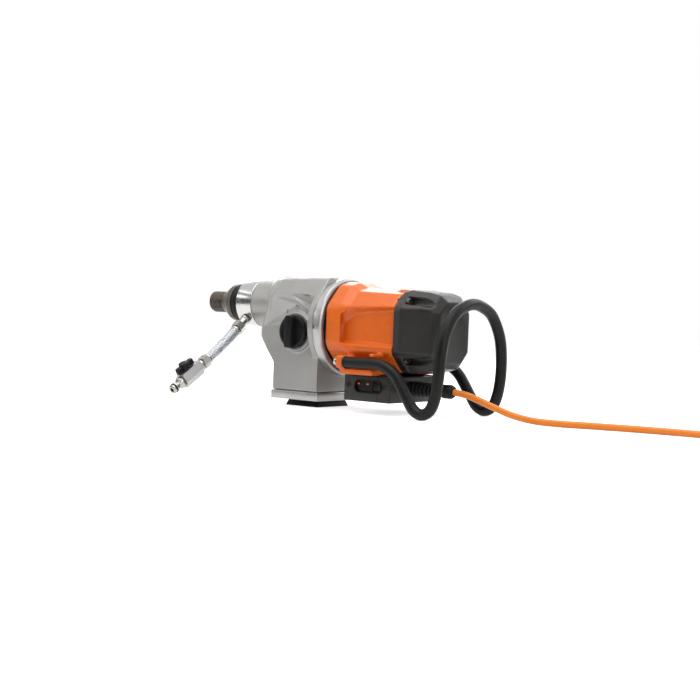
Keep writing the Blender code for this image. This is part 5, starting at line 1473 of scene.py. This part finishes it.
def water_feed(size):
    """Nipple, braided hose between two ferrules, stop valve and the garden coupling on its end."""
    axis, out = collar_middle(), hose_way(0)
    root = 36.5 * MM
    nipple_line = rounded(
        [
            (0, 3.5 * MM, 0), (0, 5.7 * MM, 0), (4 * MM, 5.7 * MM, 0), (4 * MM, 8 * MM, 0.8 * MM),
            (8 * MM, 8 * MM, 0.8 * MM), (8 * MM, 6.5 * MM, 0.4 * MM), (17.5 * MM, 6.5 * MM, 0.4 * MM),
            (17.5 * MM, 3.5 * MM, 0)
        ],
        3
    )
    nipple = spun([tuple(p) for p in nipple_line], placed(axis + out * (root - 3.2 * MM), out), 48)
    piece("feed_nipple", nipple, made("nickel_plate"), "housing", ["water_nipple"], 30)
    upper_at = axis + out * (root + 14.6 * MM)
    upper = hexagon(17 * MM, 11.6 * MM, placed(upper_at, out, (1, 0, 0)), 1 * MM, 4 * MM)
    upper_piece = piece("ferrule_upper", upper, made("nickel_plate"), "housing", ["hose_ferrule_upper"], 30)
    route = hose_stations()
    end, onward = route[-1], hose_way(1)
    at = 0.3 * MM
    lower = joined(
        hexagon(17 * MM, 12 * MM, placed(end + onward * at, onward, (1, 0, 0)), 1 * MM, 4 * MM),
        ring(7.5 * MM, 4 * MM, 8 * MM, placed(end + onward * (at + 10 * MM), onward), 0.5 * MM, 48)
    )
    lower_piece = piece("ferrule_lower", lower, made("nickel_plate"), "housing", ["hose_ferrule_lower"], 30)
    at += 18.3 * MM
    crimps = joined(
        ring(
            size.hose_radius + 0.7 * MM, size.hose_radius - 1 * MM, 3 * MM, placed(route[0], out), 0.5 * MM,
            48
        ),
        ring(
            size.hose_radius + 0.7 * MM, size.hose_radius - 1 * MM, 3 * MM,
            placed(end - onward * 3 * MM, onward), 0.5 * MM, 48
        )
    )
    crimp_piece = piece("hose_crimps", crimps, made("nickel_plate"))
    inside = 12 * MM
    whole = [route[0] - out * inside, *route, end + onward * inside]
    core = piece(
        "hose_core", swept(whole, size.hose_radius - 2.2 * size.braid_wire, 7), made("hose_tube"),
        "housing", ["water_hose"], 60
    )
    weave = piece("hose_braid", braid(route, size.hose_radius, size), made("braid_wire"), "housing", (), 60)
    valve_place = placed(end + onward * at, onward, (1, 0, 0))
    valve_bar = hexagon(21 * MM, 40 * MM, valve_place, 1.2 * MM, 6.9 * MM)
    pivot = end + onward * (at + 0.62 * 40 * MM)
    up = Vector((0, onward.z, -onward.y))
    body = piece(
        "valve_barrel", cut(valve_bar, bar(3.3 * MM, 20 * MM, placed(pivot, up, (1, 0, 0)))),
        made("milled_aluminium"), "housing", ["valve_body"], 30
    )
    valve_key(pivot, onward, up)
    at += 40.3 * MM
    coupling_at = placed(end + onward * at, onward)
    line = rounded(
        [
            (0, 3.2 * MM, 0), (0, 8.4 * MM, 0.5 * MM), (3.6 * MM, 8.8 * MM, 1 * MM),
            (7 * MM, 7.5 * MM, 1 * MM), (8.4 * MM, 5.2 * MM, 0.8 * MM), (12 * MM, 5.2 * MM, 0.8 * MM),
            (13 * MM, 7.2 * MM, 0.5 * MM), (16 * MM, 7.2 * MM, 0.4 * MM), (16 * MM, 5.4 * MM, 0),
            (18.6 * MM, 5.4 * MM, 0), (18.6 * MM, 7 * MM, 0.4 * MM), (21 * MM, 6.6 * MM, 0.8 * MM),
            (22 * MM, 5.6 * MM, 0.4 * MM), (22 * MM, 3.2 * MM, 0.3 * MM)
        ],
        3
    )
    coupling = piece(
        "garden_coupling", spun([tuple(p) for p in line], coupling_at, 64), made("nickel_plate"), "housing",
        ["hose_coupling"], 30
    )
    seal = bmesh.new()
    circle = bmesh.ops.create_circle(seal, segments=16, radius=1.25 * MM)
    bmesh.ops.transform(
        seal, matrix=Matrix.Translation((17.3 * MM, 0, 6.25 * MM)) @ Matrix.Rotation(math.pi / 2, 4, "X"),
        verts=circle["verts"]
    )
    bmesh.ops.spin(
        seal, geom=seal.verts[:] + seal.edges[:], cent=(0, 0, 0), axis=(1, 0, 0), angle=2 * math.pi,
        steps=48, use_merge=True
    )
    bmesh.ops.transform(seal, matrix=coupling_at, verts=seal.verts[:])
    seal_piece = piece("coupling_seal", cleaned(seal), made("black_rubber"))


def valve_key(pivot, onward, up):
    """The valve's black butterfly grip, on the ball and stem that it turns."""
    base = 21 * MM / 2 + 1.2 * MM
    grip_at = placed(pivot + up * base, up, onward)
    wing = []
    for end in (1, -1):
        wing += [
            (4.5 * MM, end * 16.6 * MM, 2.5 * MM), (4.5 * MM, end * 9 * MM, 2 * MM),
            (2.8 * MM, end * 7 * MM, 2 * MM)
        ][::end]
    half = wing
    other = [(-y, z, radius) for y, z, radius in reversed(half)]
    outline = rounded(half + other, 4)
    bar_grip = prism(outline, 8.6 * MM, grip_at, 1.2 * MM)
    hub = bar(7.8 * MM, 10.3 * MM, grip_at, 1 * MM, 48)
    key = piece("valve_key", joined(bar_grip, hub), made("black_moulding"), "valve", ["valve_handle"], 40)
    ball = bmesh.new()
    bmesh.ops.create_uvsphere(ball, u_segments=32, v_segments=16, radius=6.5 * MM)
    bmesh.ops.translate(ball, vec=pivot, verts=ball.verts[:])
    ball = cut(cleaned(ball), bar(4 * MM, 20 * MM, placed(pivot - onward * 10 * MM, onward), 0, 32))
    stem = bar(2.9 * MM, base + 4 * MM, placed(pivot + up * 5 * MM, up), 0.4 * MM, 32)
    piece("valve_stem_ball", joined(ball, stem), made("nickel_plate"), "valve", ["valve_ball"], 30)


# ---------------------------------------------------------------- inside, stage and camera


def inner_parts():
    """Finishes for the CAD's own pieces that stay: gears, bearings, motor and electrics."""
    refinish(
        "gear_steel", "counter_gear", "countershaft", "spindle_gear_first", "spindle_gear_second",
        "spindle_gear_third", "shift_sleeve", "shift_fork", "armature_shaft"
    )
    refinish(
        "ground_steel", "armature_front_bearing", "armature_rear_bearing", "countershaft_front_bearing",
        "countershaft_rear_bearing", "spindle_front_bearing", "spindle_rear_bearing", "fork_rail",
        "selector_shaft"
    )
    refinish("laminated_iron", "armature_core", "stator")
    refinish("winding_copper", "commutator")
    refinish("brush_carbon", "carbon_brush_left", "carbon_brush_right")
    refinish("black_moulding", "brush_holder_left", "brush_holder_right", "end_shield", "fan")
    refinish("board_green", "control_board")


def seen_directly(nodes, links):
    """One where the camera, a mirror or glass sees the surface, and nought where light only bounces."""
    rays = nodes.new("ShaderNodeLightPath")
    seen = nodes.new("ShaderNodeMath")
    seen.operation = "MAXIMUM"
    links.new(rays.outputs["Is Camera Ray"], seen.inputs[0])
    links.new(rays.outputs["Is Glossy Ray"], seen.inputs[1])
    also = nodes.new("ShaderNodeMath")
    also.operation = "MAXIMUM"
    links.new(seen.outputs[0], also.inputs[0])
    links.new(rays.outputs["Is Transmission Ray"], also.inputs[1])
    return also.outputs[0]


def white_floor(strength):
    """A white floor that keeps soft shadows."""
    material = bpy.data.materials.new("studio_floor")
    material.use_nodes = True
    nodes, links = material.node_tree.nodes, material.node_tree.links
    nodes.clear()
    output = nodes.new("ShaderNodeOutputMaterial")
    matt = nodes.new("ShaderNodeBsdfDiffuse")
    matt.inputs["Color"].default_value = (0.8, 0.8, 0.8, 1)
    glow = nodes.new("ShaderNodeEmission")
    glow.inputs["Strength"].default_value = strength
    add = nodes.new("ShaderNodeAddShader")
    mix = nodes.new("ShaderNodeMixShader")
    links.new(matt.outputs[0], add.inputs[0])
    links.new(glow.outputs[0], add.inputs[1])
    links.new(seen_directly(nodes, links), mix.inputs["Fac"])
    links.new(matt.outputs[0], mix.inputs[1])
    links.new(add.outputs[0], mix.inputs[2])
    links.new(mix.outputs[0], output.inputs["Surface"])
    return material


def white_world(ambient):
    """White to the camera and to mirrors and glass, and a plain soft fill for everything else."""
    world = bpy.data.worlds.new("studio")
    bpy.context.scene.world = world
    world.use_nodes = True
    nodes, links = world.node_tree.nodes, world.node_tree.links
    nodes.clear()
    output = nodes.new("ShaderNodeOutputWorld")
    fill = nodes.new("ShaderNodeBackground")
    fill.inputs["Strength"].default_value = ambient
    white = nodes.new("ShaderNodeBackground")
    for background in (fill, white):
        background.inputs["Color"].default_value = (1, 1, 1, 1)
    mix = nodes.new("ShaderNodeMixShader")
    links.new(seen_directly(nodes, links), mix.inputs["Fac"])
    links.new(fill.outputs[0], mix.inputs[1])
    links.new(white.outputs[0], mix.inputs[2])
    links.new(mix.outputs[0], output.inputs["Surface"])


def lamp(name, at, towards, size, power, colour=(1, 1, 1)):
    """A soft rectangular lamp."""
    data = bpy.data.lights.new(name, "AREA")
    data.shape = "RECTANGLE"
    data.size, data.size_y = size
    data.energy = power
    data.color = colour
    thing = bpy.data.objects.new(name, data)
    bpy.context.scene.collection.objects.link(thing)
    thing.matrix_world = looking(at, towards)
    return thing


def looking(at, towards, roll=0.0):
    """A matrix that looks from one point to another along local -Z, turned by a roll in degrees."""
    back = (Vector(at) - Vector(towards)).normalized()
    right = Vector((0, 0, 1)).cross(back).normalized()
    turn = Matrix((right, back.cross(right), back)).transposed().to_4x4()
    return Matrix.Translation(at) @ turn @ Matrix.Rotation(math.radians(roll), 4, "Z")


def card(name, at, towards, size, shade):
    """A plain board for the metal to reflect. The camera doesn't see it."""
    shape = bmesh.new()
    bmesh.ops.create_grid(shape, x_segments=1, y_segments=1, size=0.5)
    bmesh.ops.scale(shape, vec=(*size, 1), verts=shape.verts[:])
    bmesh.ops.transform(shape, matrix=looking(at, towards), verts=shape.verts[:])
    mesh = bpy.data.meshes.new(name)
    shape.to_mesh(mesh)
    shape.free()
    material = bpy.data.materials.new(name)
    material.use_nodes = True
    shader = material.node_tree.nodes["Principled BSDF"]
    shader.inputs["Base Color"].default_value = (shade, shade, shade, 1)
    shader.inputs["Roughness"].default_value = 1
    mesh.materials.append(material)
    thing = bpy.data.objects.new(name, mesh)
    bpy.context.scene.collection.objects.link(thing)
    thing.visible_camera = False
    thing.visible_shadow = False
    thing.visible_diffuse = False


def stage(look):
    """Floor, world, soft lamps, reflector cards and the camera."""
    scene = bpy.context.scene
    scene.view_settings.view_transform = "Standard"
    white_world(look.ambient)
    shape = bmesh.new()
    bmesh.ops.create_grid(shape, x_segments=1, y_segments=1, size=6)
    mesh = bpy.data.meshes.new("floor")
    shape.to_mesh(mesh)
    shape.free()
    mesh.materials.append(white_floor(look.floor_glow))
    floor = bpy.data.objects.new("floor", mesh)
    scene.collection.objects.link(floor)
    aim = (0, 0, 0.09)
    lamp("top_softbox", (0.1, -0.3, 1.6), aim, (1.8, 1.4), look.key_power)
    lamp("left_softbox", (-1.7, -1.1, 0.9), aim, (1.0, 1.2), 0.55 * look.key_power)
    lamp("right_softbox", (1.8, -0.9, 1.0), aim, (0.9, 1.1), 0.4 * look.key_power)
    lamp("back_softbox", (0.5, 1.7, 1.3), aim, (2.2, 0.9), 0.8 * look.key_power)
    lamp("edge_softbox", (-1.25, 1.2, 1.0), aim, (1.3, 0.8), 0.5 * look.key_power)
    card("low_flag", (-1.2, -1.3, 0.3), (-0.15, 0, 0.145), (2.6, 0.75), 0.04)
    card("left_flag", (-1.3, -0.9, 0.95), (-0.15, 0, 0.145), (1.8, 0.3), 0.12)
    card("near_flag", (0.95, -1.9, 0.5), (0, 0, 0.1), (2.9, 1.2), 0.04)
    data = bpy.data.cameras.new("camera")
    data.sensor_width = 36
    data.lens = 72.8
    camera = bpy.data.objects.new("camera", data)
    scene.collection.objects.link(camera)
    camera.matrix_world = looking((1.28719, -1.59519, 0.15431), (0.022, 0.0046, 0.08369), look.camera_roll)
    scene.camera = camera


# ---------------------------------------------------------------- sizes, operators and panel


def length_of_size(name, description, default):
    return FloatProperty(
        name=name, description=description, default=default, min=0, precision=5, unit="LENGTH"
    )


def colour(name, description, default):
    return FloatVectorProperty(
        name=name, description=description, default=default, size=3, min=0, max=1, subtype="COLOR"
    )


class DrillLook(PropertyGroup):
    """Colours and light."""
    cast_colour: colour("Casting", "Silver paint on the castings", (0.33, 0.325, 0.314))
    machined_colour: colour("Machined", "Bare machined aluminium", (0.52, 0.517, 0.508))
    phosphate_colour: colour("Spindle", "Phosphated steel", (0.075, 0.066, 0.055))
    nickel_colour: colour("Nickel", "Nickel plate on the fittings", (0.40, 0.388, 0.36))
    orange_colour: colour("Shell", "Orange moulding", (0.75, 0.137, 0.010))
    charcoal_colour: colour("Cap and box", "Charcoal moulding", (0.017, 0.0158, 0.0148))
    rubber_colour: colour("Rubber", "Handle and bellows", (0.0045, 0.0042, 0.0039))
    lead_colour: colour("Lead", "The lead's jacket", (0.86, 0.235, 0.018))
    ambient: FloatProperty(name="Fill", description="Strength of the even fill light", default=0.42, min=0)
    key_power: FloatProperty(
        name="Key", description="Power of the top softbox", default=19, min=0, subtype="POWER"
    )
    floor_glow: FloatProperty(
        name="Floor glow", description="White added to the seen floor", default=0.66, min=0
    )
    camera_roll: FloatProperty(name="Roll", description="The camera's roll in degrees", default=2.2)


class DrillSizes(PropertyGroup):
    """Sizes that can be changed by themselves. The rest follow from the CAD frame."""
    grain: length_of_size("Casting grain", "Mesh size of the cast and moulded skins", 1.25 * MM)
    body_width: length_of_size("Body width", "Width of the gear housing", -2 * SIDE_Y)
    neck_radius: length_of_size("Neck radius", "Radius of the housing's neck", 36.2 * MM)
    flange_radius: length_of_size("Flange radius", "Radius of flange and gear cover", 70.5 * MM)
    boss_radius: length_of_size("Boss radius", "Radius of the knob's boss", 28.5 * MM)
    knob_radius: length_of_size("Knob radius", "Radius of the gear knob", 24 * MM)
    dovetail: length_of_size("Dovetail", "How far the foot's sides lean in", 7 * MM)
    collar_radius: length_of_size("Collar radius", "Radius of the water collar", 36.2 * MM)
    thread_radius: length_of_size("Thread radius", "Outer radius of the spindle's thread", 15.88 * MM)
    thread_length: length_of_size("Thread length", "Length of the spindle's thread", 28 * MM)
    thread_pitch: length_of_size("Thread pitch", "Pitch of the spindle's thread", 3.63 * MM)
    thread_depth: length_of_size("Thread depth", "Depth of the spindle's thread", 1.9 * MM)
    lead_radius: length_of_size("Lead radius", "Radius of the mains lead", 4.5 * MM)
    hose_radius: length_of_size("Hose radius", "Radius of the braided hose", 7.6 * MM)
    braid_wire: length_of_size("Braid bundle", "Radius of one bundle of braid wire", 0.55 * MM)
    braid_strands: IntProperty(
        name="Braid bundles", description="Bundles each way round the hose", default=14, min=4
    )
    bellows_ribs: IntProperty(
        name="Bellows ribs", description="Ribs on the lead's bellows", default=6, min=2
    )


class DRILL_OT_stage(Operator):
    """Floor, light and camera"""
    bl_idname = "drill.stage"
    bl_label = "Stage and camera"

    def execute(self, context):
        stage(context.scene.drill_look)
        return {"FINISHED"}


class DRILL_OT_inner_parts(Operator):
    """Finishes for the gears, bearings, motor and electrics inside"""
    bl_idname = "drill.inner_parts"
    bl_label = "Inner parts"

    def execute(self, context):
        inner_parts()
        return {"FINISHED"}


class DRILL_OT_gear_housing(Operator):
    """The silver casting with its pockets, boss and gear figures"""
    bl_idname = "drill.gear_housing"
    bl_label = "Gear housing"

    def execute(self, context):
        gear_housing(context.scene.drill_sizes)
        return {"FINISHED"}


class DRILL_OT_base(Operator):
    """The milled base plate and the dovetail foot"""
    bl_idname = "drill.base"
    bl_label = "Base and foot"

    def execute(self, context):
        base_and_foot(context.scene.drill_sizes)
        return {"FINISHED"}


class DRILL_OT_gear_cover(Operator):
    """The ring between gears and motor, with its gasket and air outlet"""
    bl_idname = "drill.gear_cover"
    bl_label = "Gear cover"

    def execute(self, context):
        gear_cover(context.scene.drill_sizes)
        return {"FINISHED"}


class DRILL_OT_motor_shell(Operator):
    """The orange shell with its side panels, clamps and ribs"""
    bl_idname = "drill.motor_shell"
    bl_label = "Motor shell"

    def execute(self, context):
        motor_shell(context.scene.drill_sizes)
        return {"FINISHED"}


class DRILL_OT_rear_cap(Operator):
    """The faceted charcoal cap with its screw ways"""
    bl_idname = "drill.rear_cap"
    bl_label = "Rear cap"

    def execute(self, context):
        rear_cap(context.scene.drill_sizes)
        return {"FINISHED"}


class DRILL_OT_cap_screws(Operator):
    """The four socket screws in the rear cap"""
    bl_idname = "drill.cap_screws"
    bl_label = "Cap screws"

    def execute(self, context):
        cap_screws()
        return {"FINISHED"}


class DRILL_OT_spindle_nose(Operator):
    """The threaded spindle nose and its slinger"""
    bl_idname = "drill.spindle_nose"
    bl_label = "Spindle"

    def execute(self, context):
        spindle_nose(context.scene.drill_sizes)
        return {"FINISHED"}


class DRILL_OT_water_collar(Operator):
    """The turned collar and its lip seal"""
    bl_idname = "drill.water_collar"
    bl_label = "Water collar"

    def execute(self, context):
        water_collar(context.scene.drill_sizes)
        return {"FINISHED"}


class DRILL_OT_selector(Operator):
    """The gear knob, its pointer and the rim it turns in"""
    bl_idname = "drill.selector"
    bl_label = "Gear knob"

    def execute(self, context):
        selector(context.scene.drill_sizes)
        return {"FINISHED"}


class DRILL_OT_handle(Operator):
    """The rubber-covered tube handle and its clamp screws"""
    bl_idname = "drill.handle"
    bl_label = "Handle"

    def execute(self, context):
        handle()
        return {"FINISHED"}


class DRILL_OT_switch_box(Operator):
    """The box under the motor with its plate, lamps, screws and rocker"""
    bl_idname = "drill.switch_box"
    bl_label = "Switch box"

    def execute(self, context):
        switch_box()
        return {"FINISHED"}


class DRILL_OT_lead(Operator):
    """The lead with its bellows, gland, coil and plug"""
    bl_idname = "drill.lead"
    bl_label = "Mains lead"

    def execute(self, context):
        lead(context.scene.drill_sizes)
        return {"FINISHED"}


class DRILL_OT_water_feed(Operator):
    """Nipple, braided hose, stop valve and garden coupling"""
    bl_idname = "drill.water_feed"
    bl_label = "Water feed"

    def execute(self, context):
        water_feed(context.scene.drill_sizes)
        return {"FINISHED"}


OPERATORS = (
    DRILL_OT_stage, DRILL_OT_lead, DRILL_OT_water_feed, DRILL_OT_gear_housing, DRILL_OT_base,
    DRILL_OT_gear_cover, DRILL_OT_motor_shell, DRILL_OT_rear_cap, DRILL_OT_cap_screws,
    DRILL_OT_spindle_nose, DRILL_OT_water_collar, DRILL_OT_selector, DRILL_OT_handle, DRILL_OT_switch_box,
    DRILL_OT_inner_parts
)


class DRILL_PT_looks(Panel):
    """Lists the pieces and their sizes in the 3D view's sidebar"""
    bl_idname = "DRILL_PT_looks"
    bl_label = "Core Drill"
    bl_space_type = "VIEW_3D"
    bl_region_type = "UI"
    bl_category = "Core Drill"

    def draw(self, context):
        for operator in OPERATORS:
            self.layout.operator(operator.bl_idname)
        for group in (context.scene.drill_look, context.scene.drill_sizes):
            for name in group.bl_rna.properties.keys():
                if name not in ("name", "rna_type"):
                    self.layout.prop(group, name)


CLASSES = (DrillLook, DrillSizes, *OPERATORS, DRILL_PT_looks)


def register():
    for entry in CLASSES:
        bpy.utils.register_class(entry)
    bpy.types.Scene.drill_look = PointerProperty(type=DrillLook)
    bpy.types.Scene.drill_sizes = PointerProperty(type=DrillSizes)


def unregister():
    del bpy.types.Scene.drill_sizes
    del bpy.types.Scene.drill_look
    for entry in reversed(CLASSES):
        bpy.utils.unregister_class(entry)


def called(bl_idname):
    group, name = bl_idname.split(".")
    return getattr(getattr(bpy.ops, group), name)


def main():
    register()
    for operator in OPERATORS:
        called(operator.bl_idname)()
    for spent in [mesh for mesh in bpy.data.meshes if mesh.users == 0]:
        bpy.data.meshes.remove(spent)


if __name__ == "__main__":
    main()
